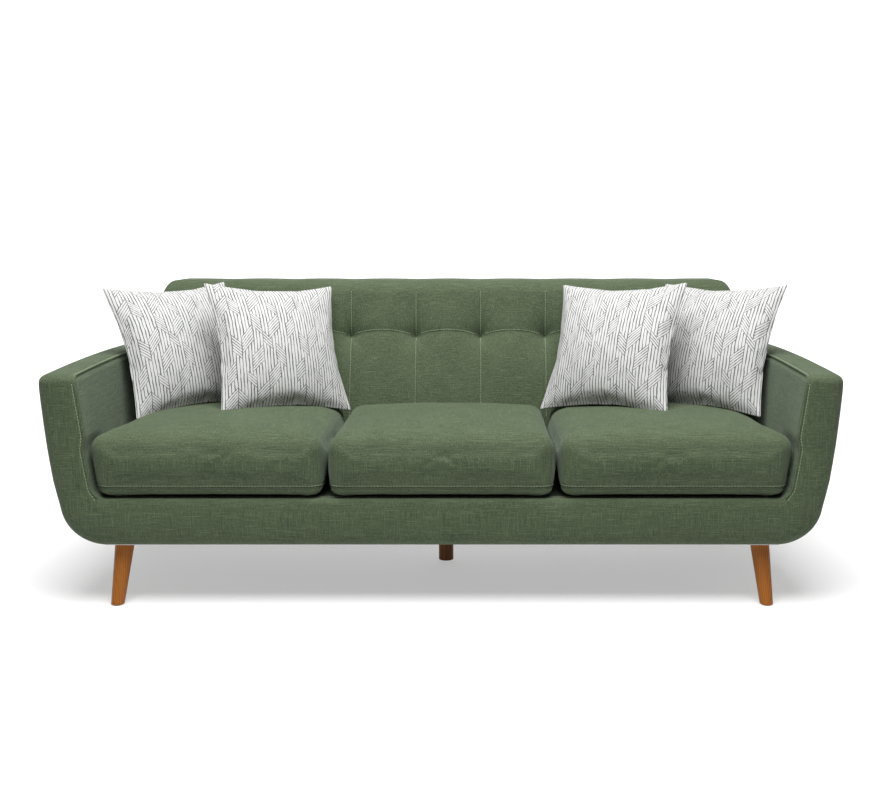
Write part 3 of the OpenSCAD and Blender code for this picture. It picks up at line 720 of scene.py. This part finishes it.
class SOFA_OT_tub(bpy.types.Operator):
    """Make the padded cover of the arms and the base, with its seams"""

    bl_idname = "sofa.tub"
    bl_label = "Arms and Base"

    def execute(self, context):
        sizes = context.scene.sofa_sizes
        shape = TubShape(sizes)
        low = Vector((-shape.half, -shape.width / 2, FRONT_Y))
        high = Vector((shape.half, shape.width / 2, shape.rear))
        bm = grid_block(low, high, (280, 16, 96), (0.62, 0.7, 0.82))
        round_edges(bm, low, high, shape.radius)
        for vert in bm.verts:
            vert.co = shape.place(shape.sharpen(vert.co))
        add_piece("tub_cover", bm, "linen", replaced=(
            "arm_cover_left", "arm_cover_right", "arm_pad_left", "arm_pad_right", "front_cover",
            "front_pad"))
        self.sew(shape, sizes)
        return {"FINISHED"}

    def sew(self, shape, sizes):
        """Seam and stitches up the inner edge of each arm and back along its top."""
        threads, welts = bmesh.new(), bmesh.new()
        edge = shape.half
        inner = -shape.width / 2
        foot = shape.parts[0] + 0.10
        turn = 0.034
        path = []
        steps = 40
        for i in range(steps + 1):
            path.append((mix(foot, edge - turn, i / steps), FRONT_Y + 0.0015))
        for i in range(1, 9):
            a = math.pi / 2 * i / 8
            path.append((edge - turn + (turn - 0.004) * math.sin(a),
                         FRONT_Y + 0.0015 + turn * (1 - math.cos(a))))
        for i in range(1, 60):
            path.append((edge - 0.004, mix(FRONT_Y + turn, BACK_LOW.y + 0.16, i / 60)))
        for side in (-1, 1):
            points = [shape.place(Vector((side * s, inner + 0.0035, y))) for s, y in path]
            points = [p + Vector((0, -0.0005, 0.0005)) for p in points]
            on_front, on_top = Vector((-side * 0.3, -1, 0.15)), Vector((-side * 0.5, -0.2, 1))
            normals = [on_front if i <= steps else on_top for i in range(len(points))]
            add_tube(welts, points, 0.0022)
            beside = [shape.place(Vector((side * s, inner + 0.009, y))) for s, y in path]
            beside = [p + n.normalized() * 0.0005 for p, n in zip(beside, normals)]
            add_stitches(threads, beside, normals, sizes)
        add_piece("arm_seams", welts, "linen")
        add_piece("arm_stitching", threads, "topstitch_and_highlight")


# ---- back -------------------------------------------------------------------------------


# Depth of the back's block, the radii of its front and rear edges, and half the outside panel's
# width above the arms with the radius of its top corners
BACK_DEPTH, BACK_FRONT_RADIUS, BACK_REAR_RADIUS = 0.24, 0.042, 0.014
PANEL_HALF, PANEL_CORNER = 0.945, 0.055


class BackShape:
    """Places a padded slab between the arms and draws in its channels and tufts."""

    def __init__(self, sizes):
        self.sizes = sizes
        self.low = Vector((-0.975, 0.0, DECK_Z))
        self.high = Vector((0.975, 1.0, BACK_TOP))
        self.seams = [(i + 0.5) * sizes.channel_pitch for i in range(-4, 4)]

    def face(self, z):
        return self.sizes.back_seat_y + (z - DECK_Z) * math.tan(self.sizes.back_lean)

    def rear(self, z):
        return REAR_FOOT + (z - BASE_Z) * REAR_SLOPE

    def half_width(self, z):
        if z < ARM_TOP:
            return mix(0.946, 0.986, (z - DECK_Z) / (ARM_TOP - DECK_Z))
        return mix(0.986, 0.952, ease((z - ARM_TOP) / (BACK_TOP - ARM_TOP)))

    def seam_distance(self, x):
        """Signed distance to the nearest channel seam."""
        nearest = min(self.seams, key=lambda s: abs(x - s))
        return x - nearest

    def seam_height(self, x):
        """Height of the cross seam, which bows up between the tufts."""
        a = min(abs(self.seam_distance(x)) / (self.sizes.channel_pitch / 2), 1)
        return self.sizes.tuft_height + self.sizes.seam_rise * (1 - (1 - a) ** 2)

    def sink(self, x, z):
        """How far the face is drawn in at a point."""
        sizes = self.sizes
        near = self.seam_distance(x)
        a = min(abs(near) / (sizes.channel_pitch / 2), 1)
        below_top = mix(0.35, 1.0, ease((BACK_TOP - 0.01 - z) / 0.11))
        fade = below_top * mix(0.55, 1.0, ease((z - 0.45) / 0.15))
        valley = sizes.channel_depth * (1 - math.sqrt(max(0.0, 1 - (1 - a) ** 2))) * fade
        apart = abs(z - self.seam_height(x))
        cross = 0.007 * math.exp(-apart / 0.016) * mix(1.0, 0.75, a)
        away = math.hypot(near, z - sizes.tuft_height)
        angle = math.atan2(z - sizes.tuft_height, near)
        pit = sizes.tuft_depth * math.exp(-away / 0.030) + 0.007 * math.exp(-(away / 0.085) ** 2)
        folds = 0.0016 * math.cos(7 * angle + 3 * x) * math.exp(-away / 0.045) * ease(away / 0.02)
        swell = 0.004 * math.sin(math.pi * clamp((z - 0.46) / 0.24))
        return valley + cross + pit + folds - swell

    def place(self, co):
        """A point of the block, (across, front to back from 0 to 1, up), on the sofa."""
        x, k, z = co
        half = self.half_width(z)
        x = x / self.high.x * half
        edge = 0.058
        over = max(0.0, abs(x) - (half - edge))
        drop = edge - math.sqrt(max(0.0, edge * edge - min(over, edge) ** 2))
        lift = ease((z - (ARM_TOP - 0.05)) / (BACK_TOP - ARM_TOP + 0.05))
        z -= drop * lift
        y = mix(self.face(z), self.rear(z), k)
        front = ease(1 - k / 0.5)
        inward = self.sink(x, z) * front * ease((half - abs(x)) / 0.06)
        y += inward * math.cos(self.sizes.back_lean)
        z -= inward * math.sin(self.sizes.back_lean)
        top = ease((z - (BACK_TOP - 0.05)) / 0.05)
        a = min(abs(self.seam_distance(x)) / (self.sizes.channel_pitch / 2), 1)
        z -= 0.0022 * (1 - a) ** 2 * top
        return Vector((x, min(y, self.rear(z) - 0.001), z))


def round_slab(bm, low, high, depth, front_radius, rear_radius):
    """Rounds a block whose middle axis runs from 0 to 1 over a depth."""
    for vert in bm.verts:
        vert.co.y = low.y + vert.co.y * depth
    flat_high = Vector((high.x, low.y + depth, high.z))
    for vert in bm.verts:
        radius = mix(front_radius, rear_radius, ease((vert.co.y - low.y) / depth))
        core = core_point(vert.co, low, flat_high, [radius] * 3)
        if vert.co.z < low.z + radius:
            core.z = vert.co.z
        out = vert.co - core
        if out.length > 1e-9:
            vert.co = core + out.normalized() * radius
    for vert in bm.verts:
        vert.co.y = (vert.co.y - low.y) / depth


class SOFA_OT_back(bpy.types.Operator):
    """Make the tufted back, its channel seams and the outside back panel"""

    bl_idname = "sofa.back"
    bl_label = "Tufted Back"

    def execute(self, context):
        sizes = context.scene.sofa_sizes
        shape = BackShape(sizes)
        bm = grid_block(shape.low, shape.high, (324, 18, 84), (0.0, 0.7, 0.45))
        pitch = sizes.channel_pitch
        for vert in bm.verts:
            t = (vert.co.x / pitch + 0.5) % 1.0
            vert.co.x -= 0.62 * pitch * math.sin(math.tau * t) / math.tau * (
                1 if abs(vert.co.x) < 0.96 else 0)
        round_slab(bm, shape.low, shape.high, BACK_DEPTH, BACK_FRONT_RADIUS, BACK_REAR_RADIUS)
        for vert in bm.verts:
            vert.co = shape.place(vert.co)
        add_piece("back_cushioning", bm, "linen", replaced=(
            "back_cover", "back_pad", "tuft_ties"))
        self.sew(shape, sizes)
        self.outside(shape)
        return {"FINISHED"}

    def sew(self, shape, sizes):
        """Stitches beside each channel seam and along the cross seam."""
        threads = bmesh.new()
        out = Vector((0, -math.cos(sizes.back_lean), math.sin(sizes.back_lean)))

        def on_face(x, z):
            spot = shape.place(Vector((x * shape.high.x / shape.half_width(z), 0.0, z)))
            return spot + out * 0.0006

        for seam in shape.seams:
            for low, high in (
                (0.44, sizes.tuft_height - 0.006), (sizes.tuft_height + 0.006, 0.838),
            ):
                heights = [mix(low, high, i / 30) for i in range(31)]
                points = [on_face(seam + 0.0035, z) for z in heights]
                add_stitches(threads, points, [out] * len(points), sizes)
        for left, right in zip(shape.seams, shape.seams[1:]):
            places = [mix(left + 0.018, right - 0.018, i / 24) for i in range(25)]
            points = [on_face(x, shape.seam_height(x) + 0.004) for x in places]
            add_stitches(threads, points, [out] * len(points), sizes)
        add_piece("back_stitching", threads, "topstitch_and_highlight")

    def outside(self, shape):
        """The panel that closes the outside of the back."""
        depth = 0.006
        low, high = Vector((-1.0, 0, BASE_Z)), Vector((1.0, depth, PANEL_HIGH.z))
        bm = grid_block(low, high, (120, 3, 48), (0.5, 0.0, 0.5))
        round_edges(bm, low, high, depth * 0.45)
        for vert in bm.verts:
            x, y, z = vert.co
            if z < ARM_TOP:
                foot = max(0.0, 0.10 - (z - BASE_Z))
                half = RAIL_X + 0.116 + (z - BASE_Z) * math.tan(math.radians(7)) - foot ** 2 / 0.16
                half -= 0.03 * ease((z - (ARM_TOP - 0.03)) / 0.03)
            else:
                past = clamp(z - (PANEL_HIGH.z - PANEL_CORNER), 0.0, PANEL_CORNER)
                half = PANEL_HALF - PANEL_CORNER + math.sqrt(PANEL_CORNER ** 2 - past ** 2)
            puff = 0.003 * math.cos(x * math.pi / 2) * math.sin(
                math.pi * (z - BASE_Z) / (PANEL_HIGH.z - BASE_Z))
            out = shape.rear(z) - 0.003 + y + (puff if y > depth / 2 else 0)
            vert.co = Vector((x * half, out, z))
        add_piece("outside_back_panel", bm, "linen", replaced=("outside_back",))


# ---- seat cushions ----------------------------------------------------------------------


# A seat cushion's upright edges: their radius, and how square they are (2 is a circle)
SEAT_RADIUS, EDGE_POWER = 0.040, 2.4


class SOFA_OT_seats(bpy.types.Operator):
    """Make the three loose seat cushions with their seams"""

    bl_idname = "sofa.seats"
    bl_label = "Seat Cushions"

    def execute(self, context):
        sizes = context.scene.sofa_sizes
        for side in SEATS:
            self.cushion(context, sizes, side)
        return {"FINISHED"}

    def block(self, sizes, low, high, shrink):
        """A crowned block with rounder edges above than below."""
        inset = Vector((shrink, shrink, shrink))
        low, high = low + inset, high - inset
        bm = grid_block(low, high, (60, 56, 24), (0.35, 0.35, 0.35))
        centre, half = (low + high) / 2, (high - low) / 2
        for vert in bm.verts:
            up = ease((vert.co.z - low.z) / (high.z - low.z))
            radii = (SEAT_RADIUS, SEAT_RADIUS, mix(0.032, 0.056, up))
            core = core_point(vert.co, low, high, radii)
            out = Vector((vert.co[i] - core[i]) / radii[i] for i in range(3))
            if out.length > 1e-9:
                full = sum(abs(c) ** EDGE_POWER for c in out) ** (1 / EDGE_POWER)
                vert.co = core + Vector(out[i] * radii[i] / full for i in range(3))
            a = (vert.co.x - centre.x) / half.x
            b = (vert.co.y - centre.y) / half.y
            up = (vert.co.z - low.z) / (high.z - low.z)
            vert.co.z += sizes.crown * up * ((1 - abs(a) ** 2.6) * (1 - abs(b) ** 3) - 1)
        return bm

    def stretch(self, bm, low, high):
        """Stretches the filled block to its box again."""
        for axis in range(3):
            start = min(vert.co[axis] for vert in bm.verts)
            end = max(vert.co[axis] for vert in bm.verts)
            for vert in bm.verts:
                vert.co[axis] = mix(low[axis], high[axis], (vert.co[axis] - start) / (end - start))

    def cushion(self, context, sizes, side):
        """One cushion: its cover, seam and stitches."""
        body = "seat_cushion_" + side
        low, high = (Vector(c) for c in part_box("seat_cover_" + side))
        ends = [-SEAT_LEAN if side == "left" else 0.0, SEAT_LEAN if side == "right" else 0.0]
        low.x -= ends[0]
        high.x -= ends[1]
        high.y = sizes.back_seat_y - 0.010
        high.z += 0.015
        shrink = 0.004
        bm = self.block(sizes, low, high, shrink)
        blow_up(context, bm, 3.0, 14, 0.005)
        self.stretch(bm, low, high)
        seam = low.z + sizes.seam_height
        rear = math.tan(sizes.back_lean)
        middle = (low.x + high.x) / 2
        centre = Vector((middle, (low.y + high.y) / 2))
        for vert in bm.verts:
            co = vert.co
            room = 0.0005 + 0.0015 * ease((low.y + 0.10 - co.y) / 0.08)
            side_bulge = seat_bulge(co.y, (co.z - low.z) / (high.z - low.z))
            spread = [side_bulge if end else room for end in ends]
            end = 0 if co.x < middle else 1
            if ends[end]:
                reach = abs(co.x - middle) / (high.x - low.x) * 2
                co.x += math.copysign(side_bulge * ease(2.5 * (reach - 0.6)), co.x - middle)
            co.x = clamp(co.x, low.x - spread[0], high.x + spread[1])
            co.z = max(co.z, low.z)
            groove = 0.0045 * math.exp(-((co.z - seam) / 0.0055) ** 2)
            for axis, half in ((0, (high.x - low.x) / 2), (1, (high.y - low.y) / 2)):
                away = co[axis] - centre[axis]
                co[axis] -= math.copysign(groove, away) * ease((abs(away) - half + 0.04) / 0.03)
            up = (co.z - low.z) / (high.z - low.z)
            back = (co.y - low.y) / (high.y - low.y)
            co.x += mix(ends[0], ends[1], (co.x - low.x) / (high.x - low.x)) * up
            co.y = min(co.y, high.y) + back * (co.z - low.z) * rear * 0.92
            co.y = min(co.y, high.y + (co.z - low.z) * rear)
            co += noise.noise_vector(co * 7.0) * 0.0016 * up
        bmesh.ops.recalc_face_normals(bm, faces=bm.faces)
        tree = BVHTree.FromBMesh(bm)
        piece = add_piece("seat_cushion_" + side, bm, "linen", body, replaced=(
            "seat_cover_" + side, "seat_core_" + side))
        smooth = piece.modifiers.new("smooth", "SUBSURF")
        smooth.levels = smooth.render_levels = 1
        self.sew(sizes, side, body, low, high, seam, tree)

    def sew(self, sizes, side, body, low, high, seam, tree):
        """A rolled seam with stitches above it, round the front and the sides."""
        threads, welts = bmesh.new(), bmesh.new()
        corner = 0.05
        path = [(low.x, mix(high.y - 0.06, low.y + corner, i / 40), math.pi) for i in range(41)]
        for centre_x, start in ((low.x + corner, math.pi), (high.x - corner, 1.5 * math.pi)):
            path += [(centre_x, low.y + corner, start + math.pi / 2 * i / 12) for i in range(1, 12)]
            if centre_x < (low.x + high.x) / 2:
                path += [(mix(centre_x, high.x - corner, i / 50), low.y, 1.5 * math.pi)
                         for i in range(51)]
        path += [(high.x, mix(low.y + corner, high.y - 0.06, i / 40), math.tau) for i in range(41)]
        outs = [Vector((math.cos(angle), math.sin(angle), 0)) for _, _, angle in path]
        for target, rise, kind in ((welts, 0.0, "welt"), (threads, 0.0055, "thread")):
            points = [on_surface(tree, Vector((x, y, seam + rise)), out)
                      for (x, y, _), out in zip(path, outs)]
            if kind == "welt":
                add_tube(target, points, 0.0018)
            else:
                add_stitches(target, points, outs, sizes)
        add_piece("seat_seam_" + side, welts, "linen", body)
        add_piece("seat_stitching_" + side, threads, "topstitch_and_highlight", body)


# ---- throw pillows ----------------------------------------------------------------------

# Width and thickness of a filled pillow, and how far the middles of its sides draw in
PILLOW_WIDTH, PILLOW_THICKNESS, PILLOW_WAIST = 0.425, 0.128, 0.013
# Middle of each pillow, then how far it is turned, leaned back and rolled, in degrees
PILLOW_PLACES = {
    "outer_left": ((-0.820, 0.040, 0.673), 43.0, 25.0, -1.0),
    "inner_left": ((-0.518, 0.022, 0.674), 33.0, 25.0, 3.3),
    "inner_right": ((0.518, 0.012, 0.678), -32.0, 26.0, -2.6),
    "outer_right": ((0.828, 0.038, 0.674), -41.0, 24.0, -1.6),
}


class SOFA_OT_pillows(bpy.types.Operator):
    """Make the four throw pillows, printed on the front and plain behind"""

    bl_idname = "sofa.pillows"
    bl_label = "Throw Pillows"

    def execute(self, context):
        plump = self.inflate(context)
        for index, name in enumerate(PILLOWS):
            self.pillow(plump, name, index)
        bpy.data.meshes.remove(plump)
        return {"FINISHED"}

    def flat_case(self):
        """Two squares of cloth sewn together, a little larger than the plump pillow."""
        half = 0.215
        low, high = Vector((-half, -0.003, -half)), Vector((half, 0.003, half))
        bm = grid_block(low, high, (46, 1, 46), (0.1, 0.0, 0.1))
        layer = bm.loops.layers.uv.new("cloth")
        for face in bm.faces:
            for loop in face.loops:
                loop[layer].uv = (loop.vert.co.x + half, loop.vert.co.z + half)
        return bm, half

    def inflate(self, context):
        """The case filled: blown up as cloth; pillow() settles it to the pillow's thickness."""
        bm, half = self.flat_case()
        blow_up(context, bm, 1.5, 20, 0.3)
        mesh = bpy.data.meshes.new("pillow_case")
        bm.to_mesh(mesh)
        bm.free()
        return mesh

    def pillow(self, plump, name, index):
        """One pillow: its printed case, leaned against the back."""
        bm = bmesh.new()
        bm.from_mesh(plump)
        lo = Vector(min(v.co[i] for v in bm.verts) for i in range(3))
        hi = Vector(max(v.co[i] for v in bm.verts) for i in range(3))
        wide = PILLOW_WIDTH / (hi.x - lo.x)
        thick = PILLOW_THICKNESS / (hi.y - lo.y)
        place, yaw, lean, roll = PILLOW_PLACES[name]
        turn = (Matrix.Translation(place) @ Matrix.Rotation(math.radians(yaw), 4, "Z")
                @ Matrix.Rotation(-math.radians(lean), 4, "X")
                @ Matrix.Rotation(math.radians(roll), 4, "Y"))
        seed = Vector((index * 3.7, 1.3, index * 1.9))
        for vert in bm.verts:
            co = Vector((vert.co.x * wide, vert.co.y * thick, vert.co.z * wide))
            a, c = co.x / (PILLOW_WIDTH / 2), co.z / (PILLOW_WIDTH / 2)
            co.x -= PILLOW_WAIST * a * abs(a) * max(0.0, 1 - c * c)
            co.z -= PILLOW_WAIST * c * abs(c) * max(0.0, 1 - a * a)
            co.y *= max(0.3, max(0.0, 1 - max(abs(a), abs(c)) ** 2.5) ** 0.5)
            wobble = noise.noise_vector(co * 6 + seed) * 0.006
            away = min(1.0, (abs(co.x) + abs(co.z)) / 0.2)
            vert.co = turn @ (co + wobble * (1 - 0.4 * away))
        bmesh.ops.recalc_face_normals(bm, faces=bm.faces)
        facing = turn.to_3x3() @ Vector((0, -1, 0))
        for face in bm.faces:
            face.material_index = 0 if face.normal.dot(facing) > 0 else 1
        piece = add_piece("throw_pillow_" + name, bm, "printed_cotton",
                          "pillow_" + name,
                          ("pillow_cover_" + name, "pillow_fill_" + name))
        piece.data.materials.append(bpy.data.materials["linen"])
        smooth = piece.modifiers.new("smooth", "SUBSURF")
        smooth.levels = smooth.render_levels = 1


# ---- deck, underside and finishes -------------------------------------------------------


# How far the dust cover stops short of its CAD box at the rear
DUST_SHORT = 0.026


class SOFA_OT_sheets(bpy.types.Operator):
    """Make the deck cloth under the cushions and the dust cover under the frame"""

    bl_idname = "sofa.sheets"
    bl_label = "Deck and Dust Cover"

    def execute(self, context):
        low, high = (Vector(c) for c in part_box("deck_cloth"))
        bm = bmesh.new()
        bmesh.ops.create_grid(bm, x_segments=90, y_segments=40, size=0.5)
        for vert in bm.verts:
            a, b = vert.co.x + 0.5, vert.co.y + 0.5
            x, y = mix(low.x, high.x, a), mix(low.y, high.y, b)
            sag = 0.0003 * math.sin(math.pi * a) * math.sin(math.pi * b)
            ripple = 0.0003 * noise.noise(Vector((x * 9, y * 9, 0)))
            vert.co = Vector((x, y, high.z - 0.0008 - sag + ripple))
        # The deck cloth wears the half-bright linen: painted shade under the cushions.
        deck = add_piece("deck_sheet", bm, "shaded_deck_linen",
                         replaced=("deck_cloth",))
        self.dust_cover()
        return {"FINISHED"}

    def dust_cover(self):
        """Thin black cloth stapled under the frame, cut round the legs' plates."""
        low, high = (Vector(c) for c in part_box("dust_cover"))
        bm = bmesh.new()
        bmesh.ops.create_grid(bm, x_segments=150, y_segments=64, size=0.5)
        for vert in bm.verts:
            vert.co.x = mix(low.x, high.x, vert.co.x + 0.5)
            vert.co.y = mix(low.y, high.y - DUST_SHORT, vert.co.y + 0.5)
        plates = [Vector((x, y, 0)) for x, y in LEG_TOPS]
        cut = [face for face in bm.faces if any(
            max(abs(face.calc_center_median().x - p.x), abs(face.calc_center_median().y - p.y))
            < LEG_PLATE / 2 for p in plates)]
        bmesh.ops.delete(bm, geom=cut, context="FACES")
        area = sum(face.calc_area() for face in bm.faces)
        for vert in bm.verts:
            across = math.sin(math.pi * (vert.co.x - low.x) / (high.x - low.x))
            along = math.sin(math.pi * (vert.co.y - low.y) / (high.y - low.y))
            ripple = 0.0004 * noise.noise(vert.co * 9)
            vert.co.z = BASE_Z - 0.0008 - 0.0022 * max(across * along, 0.0) ** 0.6 + ripple
        cover = add_piece("dust_sheet", bm, "dust_cloth",
                          replaced=("dust_cover",))


CARRIED = {
    "amber_wood": ("leg_front_left", "leg_front_right", "leg_rear_left", "leg_rear_right"),
    # The centre leg's darker wood is painted shade.
    "shaded_centre_leg_wood": ("leg_centre",),
    "glide_plastic": ("leg_glides",),
    "zinc_steel": ("leg_plates", "leg_bolts", "leg_screws", "seat_springs", "spring_clips",
                   "zip_slider_left", "zip_slider_middle", "zip_slider_right"),
    "frame_softwood": ("front_rail", "rear_rail", "side_rail_left", "side_rail_right",
                       "cross_rails", "corner_blocks", "arm_board_left", "arm_board_right",
                       "arm_rail_left", "arm_rail_right", "back_post_left", "back_post_right",
                       "back_top_rail", "back_lower_rail", "back_uprights"),
    "jute": ("back_webbing",),
    "cotton_felt": ("deck_felt",),
    "zip_ribbon": ("seat_zip_left", "seat_zip_middle", "seat_zip_right"),
}


# Cloths out of sight: base, light and dark threads, thread and slub length
PLAIN_CLOTHS = (
    ("dust_cloth", (0.018, 0.018, 0.019), (0.03, 0.03, 0.03), (0.008, 0.008, 0.008), 0.002, 0.004),
    ("jute", (0.50, 0.42, 0.28), (0.62, 0.54, 0.38), (0.3, 0.24, 0.14), 0.003, 0.03),
    ("cotton_felt", (0.55, 0.53, 0.48), (0.7, 0.68, 0.62), (0.35, 0.33, 0.3), 0.006, 0.012),
    ("zip_ribbon", (0.05, 0.07, 0.04), (0.08, 0.1, 0.06), (0.02, 0.03, 0.02), 0.001, 0.002),
)


class SOFA_OT_finishes(bpy.types.Operator):
    """Make the materials, and dress the frame's own parts in them"""

    bl_idname = "sofa.finishes"
    bl_label = "Finishes"

    def execute(self, context):
        tones = context.scene.sofa_colours
        make_weave_group()
        make_patch_group()
        linen = [tuple(tone) for tone in (tones.linen, tones.linen_light, tones.linen_dark)]
        # Half-bright copies of the linen colours: painted shade for the deck cloth, which lies in
        # the shadow under the cushions.
        shaded = [tuple(0.5 * c for c in tone) for tone in linen]
        linen_material("linen", *linen)
        linen_material("shaded_deck_linen", *shaded, 0.002, 0.05)
        for name, base, light, dark, thread, slub in PLAIN_CLOTHS:
            linen_material(name, base, light, dark, thread, slub)
        # The stitching takes the lighter topstitch colour: the thread's own colour plus a painted
        # highlight on the seams.
        thread_material("topstitch_and_highlight", tuple(tones.topstitch_and_highlight))
        print_material("printed_cotton", tuple(tones.print_ground), tuple(tones.print_line))
        wood, grain = tuple(tones.wood), tuple(tones.wood_dark)
        wood_material("amber_wood", wood, grain)
        # The centre leg gets a darker copy of the leg wood: painted shade for the shadow under the
        # middle of the sofa.
        wood_material("shaded_centre_leg_wood", tuple(0.55 * c for c in wood), tuple(0.5 * c for c in grain))
        wood_material("frame_softwood", (0.62, 0.44, 0.24), (0.42, 0.26, 0.11), 0.7)
        plain_material("zinc_steel", (0.55, 0.56, 0.58), 0.38, 1.0)
        plain_material("glide_plastic", (0.03, 0.03, 0.03), 0.5)
        for material, nodes in CARRIED.items():
            for node in nodes:
                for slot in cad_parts[node].material_slots:
                    slot.material = bpy.data.materials[material]
        return {"FINISHED"}


# ---- stage ------------------------------------------------------------------------------


# Where the floor starts to curve up, and the curve's radius
FLOOR_DEPTH, FLOOR_BEND = 4.0, 2.0
# The floor glows a little by itself, and fully from the second distance on
GLOW_NEAR, GLOW_GROWS = 0.42, (2.8, 7.0)
ROOM_LIGHT = 0.10
# Area lights: name, place, aim, size in metres and power in watts
LAMPS = (
    ("key", (-1.2, -3.4, 3.0), (0, 0, 0.4), 2.6, 8),
    ("top", (0.0, -1.2, 3.9), (0, 0, 0.4), 3.0, 372),
    ("backdrop", (0.0, 3.0, 4.6), (0, 6.0, 2.4), 4.0, 320),
)


class SOFA_OT_stage(bpy.types.Operator):
    """Set the floor, the light and the camera"""

    bl_idname = "sofa.stage"
    bl_label = "Stage"

    def execute(self, context):
        scene = context.scene
        scene.view_settings.view_transform = "Standard"
        camera_data = bpy.data.cameras.new("camera")
        camera_data.lens = 44.4
        camera_data.sensor_width = 36
        camera_data.shift_x = -0.0382
        camera = bpy.data.objects.new("camera", camera_data)
        camera.location = (0.094, -3.353, 1.02)
        camera.rotation_euler = (math.radians(90 - 8.6), 0, 0)
        scene.collection.objects.link(camera)
        scene.camera = camera
        self.floor(scene)
        self.lights(scene)
        return {"FINISHED"}

    def floor(self, scene):
        """A pale floor that curves up behind into a backdrop, and is clear from below."""
        bm = bmesh.new()
        bmesh.ops.create_grid(bm, x_segments=40, y_segments=120, size=9.0)
        for vert in bm.verts:
            past = vert.co.y - FLOOR_DEPTH
            if past > 0:
                angle = min(past / FLOOR_BEND, math.pi / 2)
                rise = max(0.0, past - FLOOR_BEND * math.pi / 2)
                vert.co.y = FLOOR_DEPTH + FLOOR_BEND * math.sin(angle)
                vert.co.z = FLOOR_BEND * (1 - math.cos(angle)) + rise
        mesh = bpy.data.meshes.new("floor")
        bm.to_mesh(mesh)
        bm.free()
        mesh.polygons.foreach_set("use_smooth", [True] * len(mesh.polygons))
        floor = bpy.data.objects.new("floor", mesh)
        scene.collection.objects.link(floor)
        paint = plain_material(
            "floor_paint", tuple(scene.sofa_colours.floor), 0.9, 0.0, 2.0, 0.004, 0.0)
        shader = paint.node_tree.nodes["Principled BSDF"]
        tree = paint.node_tree
        far = add_node(tree, "ShaderNodeVectorMath", {0: object_coordinates(tree)},
                       operation="LENGTH").outputs["Value"]
        glow = mix_colour(tree, ramp(tree, far, *GLOW_GROWS), (GLOW_NEAR,) * 3, (1.0,) * 3)
        tree.links.new(glow, shader.inputs["Emission Color"])
        shader.inputs["Emission Strength"].default_value = 1.0
        under = add_node(tree, "ShaderNodeNewGeometry").outputs["Backfacing"]
        tree.links.new(maths(tree, "SUBTRACT", 1.0, under), shader.inputs["Alpha"])
        mesh.materials.append(paint)

    def lights(self, scene):
        """A bright room with a broad light above and in front."""
        world = bpy.data.worlds.new("room")
        scene.world = world
        world.use_nodes = True
        tree = world.node_tree
        tree.nodes["Background"].inputs["Color"].default_value = (1, 1, 1, 1)
        seen = add_node(tree, "ShaderNodeLightPath").outputs["Is Camera Ray"]
        tree.links.new(maths(tree, "MULTIPLY_ADD", seen, 1 - ROOM_LIGHT, ROOM_LIGHT),
                       tree.nodes["Background"].inputs["Strength"])
        for name, place, aim, size, power in LAMPS:
            data = bpy.data.lights.new(name, "AREA")
            data.energy = power
            data.size = size
            lamp = bpy.data.objects.new(name, data)
            lamp.location = place
            lamp.rotation_euler = (Vector(aim) - Vector(place)).to_track_quat("-Z", "Y").to_euler()
            scene.collection.objects.link(lamp)


class SOFA_PT_panel(bpy.types.Panel):
    """Lists the sofa's operators, sizes and colours"""

    bl_idname = "SOFA_PT_panel"
    bl_label = "Tufted Sofa"
    bl_space_type = "VIEW_3D"
    bl_region_type = "UI"
    bl_category = "Sofa"

    def draw(self, context):
        column = self.layout.column()
        for operator in OPERATORS:
            column.operator(operator.bl_idname)
        for group in (context.scene.sofa_sizes, context.scene.sofa_colours):
            for name in group.bl_rna.properties.keys():
                if name not in ("rna_type", "name"):
                    column.prop(group, name)


OPERATORS = (
    SOFA_OT_stage, SOFA_OT_finishes, SOFA_OT_tub, SOFA_OT_back, SOFA_OT_seats, SOFA_OT_pillows,
    SOFA_OT_sheets,
)
CLASSES = (SofaSizes, SofaColours, *OPERATORS, SOFA_PT_panel)


def register():
    for cls in CLASSES:
        bpy.utils.register_class(cls)
    bpy.types.Scene.sofa_sizes = PointerProperty(type=SofaSizes)
    bpy.types.Scene.sofa_colours = PointerProperty(type=SofaColours)


def unregister():
    del bpy.types.Scene.sofa_sizes
    del bpy.types.Scene.sofa_colours
    for cls in reversed(CLASSES):
        bpy.utils.unregister_class(cls)


def main():
    """Builds the sofa on the frame."""
    register()
    for step in (
        bpy.ops.sofa.stage, bpy.ops.sofa.finishes, bpy.ops.sofa.tub, bpy.ops.sofa.back,
        bpy.ops.sofa.seats, bpy.ops.sofa.pillows, bpy.ops.sofa.sheets,
    ):
        step()


if __name__ == "__main__":
    main()
